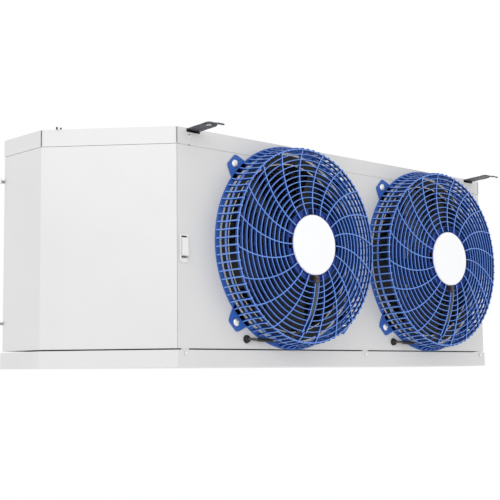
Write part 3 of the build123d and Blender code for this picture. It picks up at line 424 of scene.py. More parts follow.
def spoke_angle(n, radius, shift=0.0):
    """Angle of spoke n at a radius; shift moves it sideways in millimetres."""
    lean = acos((radius**2 + ROOT**2) / (2 * radius * hypot(ROOT, SWIRL))) - atan2(SWIRL, ROOT)
    start = CHANNEL_ANGLE if n == 0 else FIRST_SPOKE + n * 360 / SPOKES
    return radians(start) + lean + shift / radius


def at(radius, angle, height=0.0):
    """Point in a fan's frame from a radius and an angle."""
    return Vector((radius * cos(angle), radius * sin(angle), height))


def spread(first, last, count):
    """Evenly spaced values, both ends included."""
    return [first + (last - first) * n / (count - 1) for n in range(count)]


swept = degrees(spoke_angle(1, RIM) - spoke_angle(1, DISC))
print("a spoke swings by", round(swept, 1), "degrees from disc to rim")

# %% [markdown]
# ## Guard: face
# Rings and spokes are thin vanes on edge: narrow from the front, where they mustn't block the air, and
# deep from the side, where they need strength. A bevelled curve could make them, but its section turns
# along a bend. So one profile is swept along a line with a given sideways direction, and always stays
# upright. The front edge has a small chamfer, and those faces get the paler blue of the painted
# highlight. Rings lie 15 mm apart.

# %% Sweep tool
def rail(bm, spine, across, profile, closed=False, edge=()):
    """Sweep a profile of (across, up) offsets along a line; sides listed in edge get the painted
    highlight.
    """
    rows = [
        [bm.verts.new(Vector(p) + Vector(s) * u + Vector((0, 0, w))) for u, w in profile]
        for p, s in zip(spine, across)
    ]
    size = len(profile)
    for here, there in zip(rows, rows[1:] + rows[:1] if closed else rows[1:]):
        for j in range(size):
            k = (j + 1) % size
            face = bm.faces.new((here[j], there[j], there[k], here[k]))
            face.material_index = HIGHLIGHT if j in edge else SIDE
    if not closed:
        bm.faces.new(rows[0])
        bm.faces.new(rows[-1][::-1])


print("tool", rail.__name__)

# %% Guard: vane profiles
VANE = 7.5
VANE_HALF = 1.2
CHAMFER = 0.9
TOP_HALF = VANE_HALF - 0.5
vane = [
    (-VANE_HALF, -VANE),
    (VANE_HALF, -VANE),
    (VANE_HALF, -CHAMFER),
    (TOP_HALF, 0),
    (-TOP_HALF, 0),
    (-VANE_HALF, -CHAMFER),
]
LIT = (2, 3, 4)  # sides of the profile that form its front edge
PROUD = 0.9  # spokes stand this far above the rings
spoke_vane = [(1.3 * u, w if w == -VANE else w + PROUD) for u, w in vane]
rim_vane = [(1.5 * u, w) for u, w in vane]
print("vane", 2 * VANE_HALF, "mm wide and", VANE, "mm deep")

# %% Guard: face
FIRST_RING = 115
LAST_RING = 250
RINGS = 10
RING_STEPS = 144
SPOKE_STEPS = 22
FINE_STEPS = 160


def face_ring(bm, radius, cut=False, edge=LIT):
    """One ring of the face; a cut ring stops at each side of the cord channel."""
    shift = CHANNEL_HALF if cut else 0
    first = spoke_angle(0, radius, shift)
    turn = 2 * pi - 2 * shift / radius
    angles = [first + turn * n / RING_STEPS for n in range(RING_STEPS + cut)]
    spine = [at(radius, a, face_height(radius)) for a in angles]
    rail(bm, spine, [at(1, a) for a in angles], vane, closed=not cut, edge=edge)


def spoke(bm, n, inner, outer, shift=0.0):
    """One swirled vane from the hub to the rim."""
    radii = spread(inner, outer, SPOKE_STEPS)
    spine = [at(r, spoke_angle(n, r, shift), face_height(r)) for r in radii]
    along = [b - a for a, b in zip(spine, spine[1:])]
    across = [Vector((-v.y, v.x, 0)).normalized() for v in along + along[-1:]]
    rail(bm, spine, across, spoke_vane, edge=LIT)


def guard_face(bm):
    """Rings, spokes, the double rib of the cord channel and the rim."""
    face_ring(bm, HUB, edge=())
    for radius in spread(FIRST_RING, LAST_RING, RINGS):
        face_ring(bm, radius, cut=radius < CHANNEL_END)
    for n in range(1, SPOKES):
        spoke(bm, n, DISC + 3, RIM - 3)
    for side in (-1, 1):
        spoke(bm, 0, HUB + 3, CHANNEL_END + 2, side * CHANNEL_HALF)
    spoke(bm, 0, CHANNEL_END, RIM - 3)
    angles = [2 * pi * n / FINE_STEPS for n in range(FINE_STEPS)]
    spine = [at(RIM - 2, a, DEPTH) for a in angles]
    rail(bm, spine, [at(1, a) for a in angles], rim_vane, closed=True, edge=LIT)


print("rings", 1 + RINGS, "spokes", SPOKES, "every", 360 / SPOKES, "degrees")

# %% [markdown]
# ## Guard: wall, base and hub seat
# Around the side, 80 small bars come down from the rim and flare out to a base ring. The bars are flat
# plates that stand along the radius, so each is one outline given thickness. A thin ring ties them
# half way down. Near the cord the bars stop short and leave a gap. Rings that lie flat are turned
# about the axis instead of swept, which needs only their section. Four ears reach out to the screws.

# %% Plate and lathe tools
def plate(bm, outline, thick, edge=(), index=SIDE):
    """A flat outline given thickness along a vector; sides listed in edge get the painted highlight."""
    back = [bm.verts.new(Vector(p) - Vector(thick) / 2) for p in outline]
    front = [bm.verts.new(Vector(p) + Vector(thick) / 2) for p in outline]
    bm.faces.new(back[::-1]).material_index = index
    bm.faces.new(front).material_index = index
    for j in range(len(outline)):
        k = (j + 1) % len(outline)
        side = bm.faces.new((back[j], back[k], front[k], front[j]))
        side.material_index = HIGHLIGHT if j in edge else index


def lathe(bm, profile, steps=72, place=Matrix(), closed=False, index=0):
    """Turn (radius, height) points about Z; a point on the axis becomes one vertex."""
    rings = []
    for radius, height in profile:
        count = steps if radius > 0 else 1
        points = [at(radius, 2 * pi * n / steps, height) for n in range(count)]
        rings.append([bm.verts.new(place @ point) for point in points])
    for low, high in zip(rings, rings[1:] + rings[:1] if closed else rings[1:]):
        for n in range(steps):
            m = (n + 1) % steps
            corners = [low[n % len(low)], low[m % len(low)], high[m % len(high)], high[n % len(high)]]
            corners = list(dict.fromkeys(corners))
            if len(corners) > 2:
                bm.faces.new(corners).material_index = index


print("tools", plate.__name__, lathe.__name__)

# %% Guard: wall and base
BARS = 80
BAR_THICK = 3.6
CORD_GAP = -108.0
GAP_HALF = 7
EAR_THICK = 2.8
bar_front = [(261.5, 66), (261.5, 71.4), (266, 71.2), (268.4, 69), (269.3, 60), (271.2, 34)]
bar_foot = [(274.5, 16), (279.5, 3), (280, 1.5), (270.5, 1.5), (269.5, 14)]
bar_stub = [(273.5, 17), (268.8, 17)]
bar_back = [(265.4, 34), (262.6, 60)]
tie_ring = [(266.8, 27.4), (270.4, 27.4), (270, 30.6), (266.4, 30.6)]
base_ring = [(RIM, 0), (BASE, 0), (BASE, 2), (BASE - 1, 3), (RIM + 0.8, 3), (RIM, 2.2)]
ear_side = [(267, 37), (288, 31), (308, 23), (314, 18)]
ear = [(u, -v) for u, v in ear_side] + ear_side[::-1]


def guard_wall(bm):
    """Small bars from the rim to the base ring, the thin ring that ties them, and four ears."""
    for n in range(BARS):
        angle = spoke_angle(0, RIM) + radians(n * 360 / BARS)
        from_gap = abs((degrees(angle) - CORD_GAP + 180) % 360 - 180)
        foot = bar_stub if from_gap < GAP_HALF else bar_foot
        outline = [at(r, angle, z) for r, z in bar_front + foot + bar_back]
        thick = Vector((-sin(angle), cos(angle), 0)) * BAR_THICK
        # The outer sides of each bar take the painted highlight blue.
        plate(bm, outline, thick, edge=range(1, len(bar_front) + len(foot)))
    # The tie ring takes the painted highlight blue; the base ring and the ears take the blue with painted
    # light on the flats.
    lathe(bm, tie_ring, FINE_STEPS, closed=True, index=HIGHLIGHT)
    lathe(bm, base_ring, FINE_STEPS, closed=True, index=LIT_FLAT)
    for n in range(4):
        turn = Matrix.Rotation(radians(45 + 90 * n), 4, "Z")
        plate(bm, [turn @ Vector((u, v, 1.6)) for u, v in ear], (0, 0, EAR_THICK), index=LIT_FLAT)


print("wall bars", BARS, "every", 360 / BARS, "degrees")

# %% [markdown]
# The hub seat carries the disc. It is four flat sectors with a notch at the top, the bottom and each
# side, through which the dark motor shows, and a raised collar. The bottom notch lets the cord out. It
# is in shade under the disc, so it takes the deepest blue. With it the guard is complete: one object
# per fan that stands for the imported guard.

# %% Guard: hub seat and assembly
NOTCH_HALF = 15.0
SECTOR_HEIGHT = 82
SECTOR_THICK = 4
SEAT = 88.2
collar = [(DISC - 4, 84), (DISC + 1.5, 84), (DISC + 1.5, SEAT), (DISC - 4, SEAT)]


def hub_seat(bm):
    """Four sectors round the disc, and the collar on which it sits."""
    for n in range(4):
        corners = []
        for radius, way in ((HUB + 0.8, 1), (DISC + 0.6, -1)):
            start = degrees(atan2(NOTCH_HALF, sqrt(radius**2 - NOTCH_HALF**2)))
            angles = spread(start, 90 - start, 13)[::way]
            corners += [at(radius, radians(a + 90 * n), SECTOR_HEIGHT) for a in angles]
        plate(bm, corners, (0, 0, SECTOR_THICK), index=SHADE)
    lathe(bm, collar, 96, closed=True, index=SHADE)


for side, place in fans.items():
    bm = bmesh.new()
    guard_face(bm)
    guard_wall(bm)
    hub_seat(bm)
    faces = len(bm.faces)
    dress(f"{side}_swirl_guard", bm, place, guard_blues, "cabinet", "blue_guard", f"{side}_fan_guard")
    print(side, "guard faces", faces)

# %% [markdown]
# ## Hub disc
# A bare white disc closes the hub. A flattened cylinder would have a hard, dull rim. The real one is
# moulded with a rounded edge, which shows as a thin bright line, so its section is turned with that
# rounding drawn in a few points.

# %% Hub discs
disc_face = [(0, 94), (72, 94), (77, 93.7), (80, 92.8), (81.6, 91.2), (82, 89)]
disc_profile = disc_face + [(DISC, SEAT), (0, SEAT)]
for side, place in fans.items():
    bm = bmesh.new()
    lathe(bm, disc_profile, 96)
    dress(f"{side}_hub_disc", bm, place, [white_abs], "cabinet", "white_disc", "hub_discs")
print("disc", 2 * DISC, "mm across")

# %% [markdown]
# ## Guard screws
# Four large pan-head screws hold each guard by its ears. A pan head is a low dome with a recess for the
# driver. Cutting the recess out would need a boolean. Here the turned section simply dips at its middle,
# which catches the light in the same way.

# %% Guard screws
SCREW_CIRCLE = 297
HEAD_FOOT = 3.1
recess = [(0, 6.2), (2.2, 6.4), (3.1, 7.9)]
dome = [(5.5, 7.6), (8.5, 6.7), (10.4, 5.2), (11, 3.9)]
head_profile = recess + dome + [(11, HEAD_FOOT), (0, HEAD_FOOT)]
for side, place in fans.items():
    bm = bmesh.new()
    for n in range(4):
        seat = Matrix.Translation(at(SCREW_CIRCLE, radians(45 + 90 * n)))
        lathe(bm, head_profile, 40, seat)
    dress(f"{side}_guard_screws", bm, place, [bright_screw], "cabinet", "screw_steel", "guard_screws")
print("screw heads", 2 * max(r for r, z in head_profile), "mm across")

# %% [markdown]
# ## Motor
# The motor hangs behind the hub seat, with its shaft towards the coil. Its can has fins around it to
# shed heat. They are grooves in a turned section, written by a loop: two corners out, two corners in,
# nine times over. The fan's hub is a moulded cup that fits over the shaft.

# %% Motors, hubs and shafts
GROOVES = 9
GROOVE_PITCH = 6
can = [(0, 84), (36, 84), (42, 83), (47, 79)]
for n in range(GROOVES):
    top = 76 - GROOVE_PITCH * n
    can += [(49, top), (49, top - 3), (46.5, top - 4), (46.5, top - 5)]
can += [(48, 18), (44, 11), (36, 8.3), (0, 8.3)]
fan_hub = [(0, -7.8), (30, -8), (38, -10), (42, -15), (42.3, -42), (38, -42), (36, -20), (0, -18)]
shaft = [(0, -44), (5, -44), (6, -43), (6, 14), (5.4, 15), (0, 15)]
for side, place in fans.items():
    fan = f"{side}_fan"
    bm = bmesh.new()
    lathe(bm, can, 64)
    dress(f"{side}_motor_can", bm, place, [motor_enamel], "cabinet", "motor_black", "fan_motors")
    bm = bmesh.new()
    lathe(bm, fan_hub, 64)
    dress(f"{side}_moulded_hub", bm, place, [black_nylon], fan, "fan_dark", f"{fan}_hub")
    bm = bmesh.new()
    lathe(bm, shaft, 32)
    dress(f"{side}_steel_shaft", bm, place, [zinc_steel], fan, "hinge_steel", f"{fan}_shaft")
print("motor profile points", len(can))

# %% [markdown]
# ## Blades
# A blade's tip meets the air much faster than its root, so a good blade is twisted: 38 degrees of pitch
# at the hub and 22 at the tip. A flat plate bent by a modifier would lose its thickness. So each blade is
# a closed skin through 15 sections, and one function gives any point of it from a radius, a place along
# the chord and a side. Camber lifts the middle of each section, and both of its edges are thin.

# %% Blades
BLADES = 5
BLADE_ROOT = 40
TIP = 225.0
BLADE_MIDDLE = -25.0
CAMBER = 8


def blade_point(turn, radius, chordwise, skin):
    """Point of a blade: chordwise runs from -1 to 1, skin is 1 on the front and -1 on the back."""
    share = (radius - BLADE_ROOT) / (TIP - BLADE_ROOT)
    chord = 62 + 82 * share - 22 * share**3
    pitch = radians(38 - 16 * share)
    thick = 1.3 * sqrt(max(0, 1 - chordwise**4)) + 0.15
    along = chordwise * chord / 2
    rise = CAMBER * (1 - chordwise**2) - CAMBER / 2 + skin * thick
    side = along * cos(pitch) - rise * sin(pitch)
    height = along * sin(pitch) + rise * cos(pitch)
    return at(radius, turn + side / radius, BLADE_MIDDLE + height)


def blade(bm, turn):
    """Closed skin round one twisted blade."""
    front = [(s, 1) for s in spread(-1, 1, 13)]
    back = [(s, -1) for s in spread(1, -1, 13)][1:-1]
    line = front + back
    rows = [
        [bm.verts.new(blade_point(turn, radius, s, skin)) for s, skin in line]
        for radius in spread(BLADE_ROOT, TIP, 15)
    ]
    for here, there in zip(rows, rows[1:]):
        for j in range(len(line)):
            k = (j + 1) % len(line)
            bm.faces.new((here[j], here[k], there[k], there[j]))
    bm.faces.new(rows[0])
    bm.faces.new(rows[-1][::-1])


for side, place in fans.items():
    fan = f"{side}_fan"
    bm = bmesh.new()
    for n in range(BLADES):
        blade(bm, radians(90 + (n + 0.5) * 360 / BLADES))
    dress(f"{side}_twisted_blades", bm, place, [black_nylon], fan, "fan_dark", f"{fan}_blades")
print("blades", BLADES, "tip circle", 2 * TIP, "mm")

# %% [markdown]
# ## Orifice ring
# A ring lines each hole in the panel. It is drawn in the black of the blades, as painted shade for the
# throat of the hole, which lies dark. A plain edge would make the air tear off and howl, so its throat
# is rounded: a quarter of an ellipse in the section, worked out by sine and cosine. The flat flange on
# the panel is about 1 mm thick and hides the edge of the sheet.

# %% Orifice rings
THROAT = 231
LIP = 7
quarter = [radians(v) for v in spread(0, 90, 7)]
throat = [(THROAT + LIP * (1 - cos(t)), -6 + 7.2 * sin(t)) for t in quarter]
flange = [(257, 1.2), (258, 0.8), (258, 0.1), (236, -0.4), (232, -5)]
orifice = [(THROAT, -43)] + throat + flange + [(THROAT + 0.6, -43)]
for side, place in fans.items():
    bm = bmesh.new()
    lathe(bm, orifice, FINE_STEPS, closed=True)
    # The black of this ring is painted shade in the throat of the hole.
    dress(f"{side}_venturi_ring_painted_shade", bm, place, [black_nylon], "cabinet", "fan_dark")
print("fan runs", THROAT - TIP, "mm inside its ring")

# %% [markdown]
# ## Motor cord
# Each motor's cord starts at a connector in the bottom notch of the hub seat. It lies in the channel of
# the guard's face, dives behind the rings, leaves through the gap in the wall and ends at a gland in
# the panel. A free cord would hang in a curve of its own. This one is held all the way, so it keeps the
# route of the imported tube: the same nine points steer a smooth curve, in the fan's own frame. A curve
# with a round bevel stays editable, and it has no seams.

# %% Cord
CORD_RADIUS = 3.5
cord_route = [
    (9.5, -102, 88),
    (9.5, -134, 88),
    (-7.5, -200, 76),
    (-33, -243, 44),
    (-48, -258, 9),
    (-120, -256, 7.5),
    (-161, -254, 13),
    (-172, -254, 8),
    (-172, -254, -1.5),
]
for side, place in fans.items():
    curve = bpy.data.curves.new(f"{side}_motor_cord", "CURVE")
    curve.dimensions = "3D"
    curve.bevel_depth = CORD_RADIUS * MM
    curve.bevel_resolution = 6
    curve.resolution_u = 12
    curve.use_fill_caps = True
    spline = curve.splines.new("NURBS")
    spline.points.add(len(cord_route) - 1)
    for point, stop in zip(spline.points, cord_route):
        point.co = (*(place @ Vector(stop)), 1)
    spline.order_u = 3
    spline.use_endpoint_u = True
    curve.materials.append(pvc_jacket)
    cord = bpy.data.objects.new(f"{side}_motor_cord", curve)
    bpy.context.scene.collection.objects.link(cord)
    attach(cord, "cabinet")
    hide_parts("motor_cords")
print("cord points", len(cord_route))

# %% [markdown]
# ## Connector, sleeve and gland
# The connector is two moulded halves that clip together, with a fine gap between them. A cube with
# bevelled edges is enough for each. Where the cord passes the base ring, a black rubber sleeve saves it
# from chafing. The cord's curve is steered by its points without touching them. From the middle of one leg
# of the route to the middle of the next it is a simple arc, with the point between them as its handle,
# and the sleeve follows one such arc. The gland is a rubber ring with a stepped collar, turned from its
# section.

# %% Block and tube tools
def block(bm, low, high, bevel=0.0, place=Matrix(), index=0):
    """A box between two corners, its edges rounded by bevel."""
    size = Matrix.Diagonal((*[b - a for a, b in zip(low, high)], 1))
    middle = Matrix.Translation([(a + b) / 2 for a, b in zip(low, high)])
    verts = bmesh.ops.create_cube(bm, size=1, matrix=place @ middle @ size)["verts"]
    edges = list({e for v in verts for e in v.link_edges})
    for face in {f for v in verts for f in v.link_faces}:
        face.material_index = index
    if bevel:
        bmesh.ops.bevel(bm, geom=edges, offset=bevel, segments=2, affect="EDGES", material=index)


def tube(bm, points, radius, sides=16):
    """A round bar along a line of points, with closed ends."""
    points = [Vector(p) for p in points]
    rows = []
    across = None
    for n, here in enumerate(points):
        along = (points[min(n + 1, len(points) - 1)] - points[max(n - 1, 0)]).normalized()
        across = along.orthogonal() if across is None else across - along * across.dot(along)
        across = across.normalized()
        other = along.cross(across)
        turns = [2 * pi * k / sides for k in range(sides)]
        rows.append([bm.verts.new(here + radius * (across * cos(t) + other * sin(t))) for t in turns])
    for a, b in zip(rows, rows[1:]):
        for k in range(sides):
            m = (k + 1) % sides
            bm.faces.new((a[k], a[m], b[m], b[k]))
    bm.faces.new(rows[0][::-1])
    bm.faces.new(rows[-1])


print("tools", block.__name__, tube.__name__)

# %% Connector, sleeve and gland
SLEEVE_RADIUS = 4.7
gland = [(3.8, 0), (11, 0), (11, 2.6), (10.2, 4), (9.2, 4.6), (8.6, 8), (7, 10), (4.6, 10.4), (3.8, 9.6)]
gland_place = Matrix.Translation((*cord_route[-1][:2], 0))
connector = [((-2.5, -102, 82.2), (14.5, -92.6, 94)), ((-1.7, -92.2, 82.6), (13.7, -83, 93.4))]
before, handle, after = [Vector(stop) for stop in reversed(cord_route[4:7])]
first = (before + handle) / 2
last = (handle + after) / 2
arc = [first * (1 - t) ** 2 + handle * 2 * t * (1 - t) + last * t**2 for t in spread(0, 1, 12)]
for side, place in fans.items():
    bm = bmesh.new()
    for low, high in connector:
        block(bm, low, high, 1.2)
    dress(f"{side}_connector", bm, place, [plug_nylon], "cabinet", "plug_plastic", "motor_plugs")
    bm = bmesh.new()
    tube(bm, arc, SLEEVE_RADIUS, 20)
    dress(f"{side}_cord_sleeve", bm, place, [black_rubber], "cabinet", "black_rubber")
    bm = bmesh.new()
    lathe(bm, gland, 40, gland_place, closed=True)
    dress(f"{side}_cord_gland", bm, place, [black_rubber], "cabinet", "black_rubber", "cord_grommets")
print("sleeve length", round((last - first).length), "mm")

# %% [markdown]
# ## Hanger straps
# The unit hangs from four straps of thick galvanised strip, bolted under the top sheet. Each comes out
# of a window in the skirt, rises a little, has a slotted eye for the hanger bolt and ends in a narrow
# tongue that droops. It could be cut with a boolean and bent with a modifier. Cross rows along its
# length are simpler: a half width, a half width of the slot where there is one, and a height, which
# eases from one bend to the next. The rows become one sheet, and solidify gives it the 3 mm of the strip.

# %% Straps: bends and outline
STRIP = 3
STRAP_HALF = 22.0
EYE = 61.0
SLOT_RADIUS = 5.5
SLOT_STRAIGHT = 4.5
TONGUE_HALF = 10.0
TONGUE_END = 104
bends = [(-60, -7.5), (2, -7.5), (40, -5.5), (61, -4.5), (77, -1.5), (92, -6), (106, -8.5), (114, -12.5)]


def strap_height(out):
    """Top of the strap at a distance outside the cabinet's face, eased from bend to bend."""
    for (start, low), (end, high) in zip(bends, bends[1:]):
        if out <= end:
            share = max((out - start) / (end - start), 0)
            return low + (high - low) * share * share * (3 - 2 * share)
    return bends[-1][1]


def strap_rows():
    """Distance outside the face, half width and half slot for each cross row."""
    rows = [(out, STRAP_HALF, 0.0) for out in (-60, -30, -1.5, 4, 10, 16, 22, 28, 34, 42, 50)]
    for turn in spread(-90, 90, 13):
        out = EYE + SLOT_RADIUS * sin(radians(turn))
        wide = sqrt(STRAP_HALF**2 - max(out - EYE, 0) ** 2)
        rows.append((out, wide, SLOT_STRAIGHT + SLOT_RADIUS * cos(radians(turn))))
    for turn in spread(20, 68, 9):
        wide = max(STRAP_HALF * cos(radians(turn)), TONGUE_HALF)
        rows.append((EYE + STRAP_HALF * sin(radians(turn)), wide, 0.0))
    for out in spread(EYE + 24, TONGUE_END, 9):
        rows.append((out, TONGUE_HALF, 0.0))
    for turn in spread(10, 80, 7):
        out = TONGUE_END + TONGUE_HALF * sin(radians(turn))
        rows.append((out, TONGUE_HALF * cos(radians(turn)), 0.0))
    return rows


print("strap reaches", round(strap_rows()[-1][0], 1), "mm out of the cabinet")

# %% Straps: sheet and thickness
face_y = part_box("front_panel")[0].y / MM
hanger_low, hanger_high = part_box("front_right_hanger")
hanger_x = (hanger_low.x + hanger_high.x) / 2 / MM


def strap(bm, x, side):
    """A strap at X, on the front (side -1) or on the rear (side 1)."""
    rows = []
    for out, wide, slot in strap_rows():
        across = [-wide, -slot, slot, wide] if slot else [-wide, 0, wide]
        y = side * (abs(face_y) + out)
        rows.append([bm.verts.new((x + u, y, strap_height(out) - STRIP)) for u in across])
    faces = []
    for here, there in zip(rows, rows[1:]):
        faces.append(bm.faces.new((here[0], here[1], there[1], there[0])))
        faces.append(bm.faces.new((here[-2], here[-1], there[-1], there[-2])))
    bmesh.ops.recalc_face_normals(bm, faces=faces)
    upward = sum(f.normal.z for f in faces) > 0
    bmesh.ops.solidify(bm, geom=faces, thickness=-STRIP if upward else STRIP)


for end, side in (("front", -1), ("rear", 1)):
    for hand, x in (("left", -hanger_x), ("right", hanger_x)):
        bm = bmesh.new()
        strap(bm, x, side)
        name = f"{end}_{hand}"
        replaced = f"{name}_hanger"
        dress(f"{name}_strap", bm, UNIT, [dark_galvanised], "cabinet", "galvanised_strap", replaced)
print("straps at X", round(-hanger_x, 1), "and", round(hanger_x, 1))

# %% [markdown]
# ## Coil fins
# The coil is a stack of thin aluminium fins on copper tubes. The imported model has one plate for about
# seven fins. A bump on those plates would look right only from straight ahead. Here each fin is a strip
# with a rippled section, because real fins are pressed with waves, which stiffen them and stir the air.
# The fins lie about 6 mm apart, as on a coil that has to stay clear of frost.

# %% Fins
FINS = 204
WAVE = 0.9
FIN_HALF = 0.2
fins_low, fins_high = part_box("coil_fins")
waves = spread(fins_low.y / MM, fins_high.y / MM, 9)
bm = bmesh.new()
for n in range(FINS):
    x = (fins_low.x + (fins_high.x - fins_low.x) * (n + 0.5) / FINS) / MM
    line = [(x + (WAVE if k % 2 else -WAVE), y) for k, y in enumerate(waves)]
    near = [(u - FIN_HALF, y) for u, y in line]
    far = [(u + FIN_HALF, y) for u, y in reversed(line)]
    count = len(near + far)
    floor = [bm.verts.new((u, y, fins_low.z / MM)) for u, y in near + far]
    roof = [bm.verts.new((u, y, fins_high.z / MM)) for u, y in near + far]
    for j in range(count):
        k = (j + 1) % count
        bm.faces.new((floor[j], floor[k], roof[k], roof[j]))
    for j in range(len(waves) - 1):
        for row in (floor, roof):
            bm.faces.new((row[j], row[j + 1], row[count - 2 - j], row[count - 1 - j]))
dress("rippled_fins", bm, UNIT, [fin_aluminium], "cabinet", "fin_stock", "coil_fins")
print("fins", FINS, "pitch", round((fins_high.x - fins_low.x) / FINS / MM, 2), "mm")

# %% [markdown]
# ## Coil tubes and bends
# Ten copper tubes run to and fro through the fins, down the front row and up the rear one, and a hairpin
# bend joins each to the next, first at the right end and then at the left. A bend is half an ellipse:
# its arm spans the two tubes, and its reach carries it out of the coil. The round bar of the cord's
# sleeve makes them all.

# %% Tubes
TUBE_RADIUS = 6.4
tubes_low, tubes_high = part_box("coil_tubes")
end_x = tubes_high.x / MM
front_row = tubes_low.y / MM + TUBE_RADIUS
rear_row = tubes_high.y / MM - TUBE_RADIUS
heights = spread(tubes_high.z / MM - TUBE_RADIUS, tubes_low.z / MM + TUBE_RADIUS, 5)
runs = [(front_row, z) for z in heights] + [(rear_row, z) for z in reversed(heights)]
bm = bmesh.new()
for y, z in runs:
    tube(bm, [(-end_x, y, z), (end_x, y, z)], TUBE_RADIUS, 20)
dress("round_tubes", bm, UNIT, [drawn_copper], "cabinet", "copper", "coil_tubes")
print("tubes", len(runs))

# %% Hairpin bends
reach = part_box("return_bends")[1].x / MM - end_x - TUBE_RADIUS
half_turn = [radians(t) for t in spread(0, 180, 17)]
bm = bmesh.new()
for n, ((y0, z0), (y1, z1)) in enumerate(zip(runs, runs[1:])):
    side = 1 if n % 2 == 0 else -1
    middle = Vector((side * end_x, (y0 + y1) / 2, (z0 + z1) / 2))
    arm = Vector((0, y0 - y1, z0 - z1)) / 2
    out = Vector((side * reach, 0, 0))
    tube(bm, [middle + arm * cos(t) + out * sin(t) for t in half_turn], TUBE_RADIUS, 20)
dress("hairpin_bends", bm, UNIT, [drawn_copper], "cabinet", "copper", "return_bends")
print("hairpin bends", len(runs) - 1, "reach", round(reach, 1), "mm")

# %% [markdown]
# ## Latch
# A white moulded latch holds the left end door at the edge of the fan panel. Its plate has two low cheeks
# and a slot above and below the lever, dark with shade. Slots could be cut out, but at this size a thin
# black block of painted shade on the plate reads the same.

# %% Latch plate
SLOT_HALF = 1.5
CHEEK = 2.5
latch_low, latch_high = [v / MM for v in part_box("latch_base")]
lever_low, lever_high = [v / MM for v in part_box("latch_lever")]
left = latch_low.x
right = latch_high.x - 5
foot = latch_low.z - 11
wall = latch_high.y
bm = bmesh.new()
block(bm, (left, wall - 3, foot), (right, wall, latch_high.z), 0.8)
for x in (left, right - CHEEK):
    block(bm, (x, latch_low.y + 3, foot + 2), (x + CHEEK, wall - 2, latch_high.z - 2), 1.0)
# A thin black block above and below the lever is painted shade in each slot.
for z in (lever_low.z + 1.2, lever_high.z + 3.4):
    block(bm, (left + 4, wall - 5.2, z - SLOT_HALF), (right - 6, wall - 2.8, z + SLOT_HALF), 0.3, index=1)
dress("latch_cheeks", bm, UNIT, [white_acetal, black_rubber], "cabinet", "latch_plastic", "latch_base")
print("latch plate", round(right - left, 1), "by", round(latch_high.z - foot, 1), "mm")

# %% [markdown]
# The lever swings out on a pin near its top. It is slim, with a slight hollow down its front and a lip
# at the foot for a fingertip. From the side it is a single outline, so it is one plate as thick as the
# lever is wide, with every edge rounded.

# %% Latch lever
lever_wide = right - left - 7
back = lever_high.y
top = lever_high.z
bottom = lever_low.z + 4
grip = [
    (back, top - 1.2),
    (back - 1.2, top),
    (back - 3.6, top),
    (back - 5, top - 1.6),
    (back - 5.4, (bottom + top) / 2),
    (back - 5, bottom + 12),
    (back - 6.4, bottom + 5),
    (lever_low.y, bottom + 0.8),
    (lever_low.y + 1, bottom),
    (back - 4, bottom + 1.4),
    (back, bottom + 6),
]
bm = bmesh.new()
plate(bm, [((left + right) / 2, y, z) for y, z in grip], (lever_wide, 0, 0))
bmesh.ops.bevel(bm, geom=list(bm.edges), offset=0.5, segments=2, affect="EDGES")
dress("latch_grip", bm, UNIT, [white_acetal], "latch_lever", "latch_plastic", "latch_lever")
print("lever", round(lever_wide, 1), "by", round(top - bottom, 1), "mm")

# %% [markdown]
# ## Small things on the sheet metal
# A bright screw head and a dark rivet sit near the top left corner of the fan panel, and another rivet
# near its top right. The gap in each of the four folded corners of the skirt is a thin black strip of
# painted shade, and two tabs stand on the top edge at the left. All are too small to need more than
# turned sections and bevelled blocks, but without them the sheets look like a drawing.

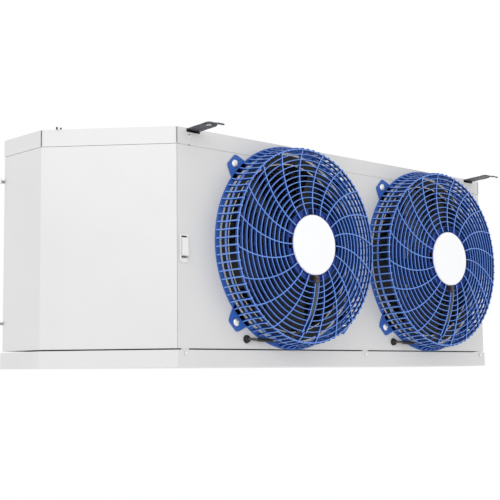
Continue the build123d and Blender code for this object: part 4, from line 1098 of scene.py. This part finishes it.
# %% Screw head and rivets
panel_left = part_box("front_panel")[0].x / MM
pan_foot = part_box("drain_pan")[0].z / MM
on_panel = Matrix(((1, 0, 0, 0), (0, 0, -1, face_y), (0, 1, 0, 0), (0, 0, 0, 1)))
NEAR_END = 40
FAR_END = 1271
fasteners = [
    (NEAR_END, 590, 4.2, 1.9, 0),
    (NEAR_END, 566, 1.9, 0.5, 1),
    (FAR_END, 567, 1.9, 0.5, 1),
]
bm = bmesh.new()
for across, above, radius, proud, index in fasteners:
    seat = on_panel @ Matrix.Translation((panel_left + across, pan_foot + above, 0))
    dome = [(0, proud), (radius * 0.6, proud), (radius * 0.9, proud * 0.7), (radius, 0.1)]
    lathe(bm, dome + [(radius, -0.6), (0, -0.6)], 24, seat, index=index)
dress("panel_fasteners", bm, UNIT, [bright_screw, black_rubber], "cabinet", "screw_steel")
print("fasteners", len(fasteners))

# %% Painted shade in the corners, and tabs
CORNER_DEPTH = 263
CORNER_TURN = 24
skirt_low, skirt_high = [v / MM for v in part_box("top_panel")]
corner_y = face_y + CORNER_DEPTH
corners = [(panel_left, face_y), (-panel_left, face_y), (skirt_low.x, corner_y), (skirt_high.x, corner_y)]
bm = bmesh.new()
for x, y in corners:
    lean = radians(CORNER_TURN if x < 0 else -CORNER_TURN)
    corner = Matrix.Translation((x, y, 0)) @ Matrix.Rotation(lean, 4, "Z")
    # Each corner gets a thin black strip: painted shade in the gap of the fold.
    block(bm, (-0.9, -0.4, skirt_low.z + 1), (0.9, 1.2, skirt_high.z - 2), 0.2, corner)
dress("skirt_corner_painted_shade", bm, UNIT, [black_rubber], "cabinet", "black_rubber")
TAB_PLACES = (-859, -847)
TAB_HALF = 2.5
TAB_RISE = 5.6
bm = bmesh.new()
for x in TAB_PLACES:
    block(bm, (x - TAB_HALF, 6, skirt_high.z - 1), (x + TAB_HALF, 9, skirt_high.z + TAB_RISE), 0.8)
dress("lifting_tabs", bm, UNIT, [dark_galvanised], "cabinet", "galvanised_strap")
print("corner seams with painted shade", len(corners))

# %% [markdown]
# ## Floor
# The unit hangs, so nothing stands on the floor. A pale floor still lies 5 m below the ceiling, far
# enough to leave the underside free to look at. It belongs to the stage and not to the unit.

# %% Floor
FLOOR_DEPTH = 5
bm = bmesh.new()
bmesh.ops.create_grid(bm, x_segments=1, y_segments=1, size=30)
floor_paint, tree, shader = surface("pale floor", "#FFFFFF", 1.0)
ground = finish_mesh("pale_floor", bm, Matrix.Translation((0, 0, -FLOOR_DEPTH)), [floor_paint])
print("floor", FLOOR_DEPTH, "m below the ceiling")
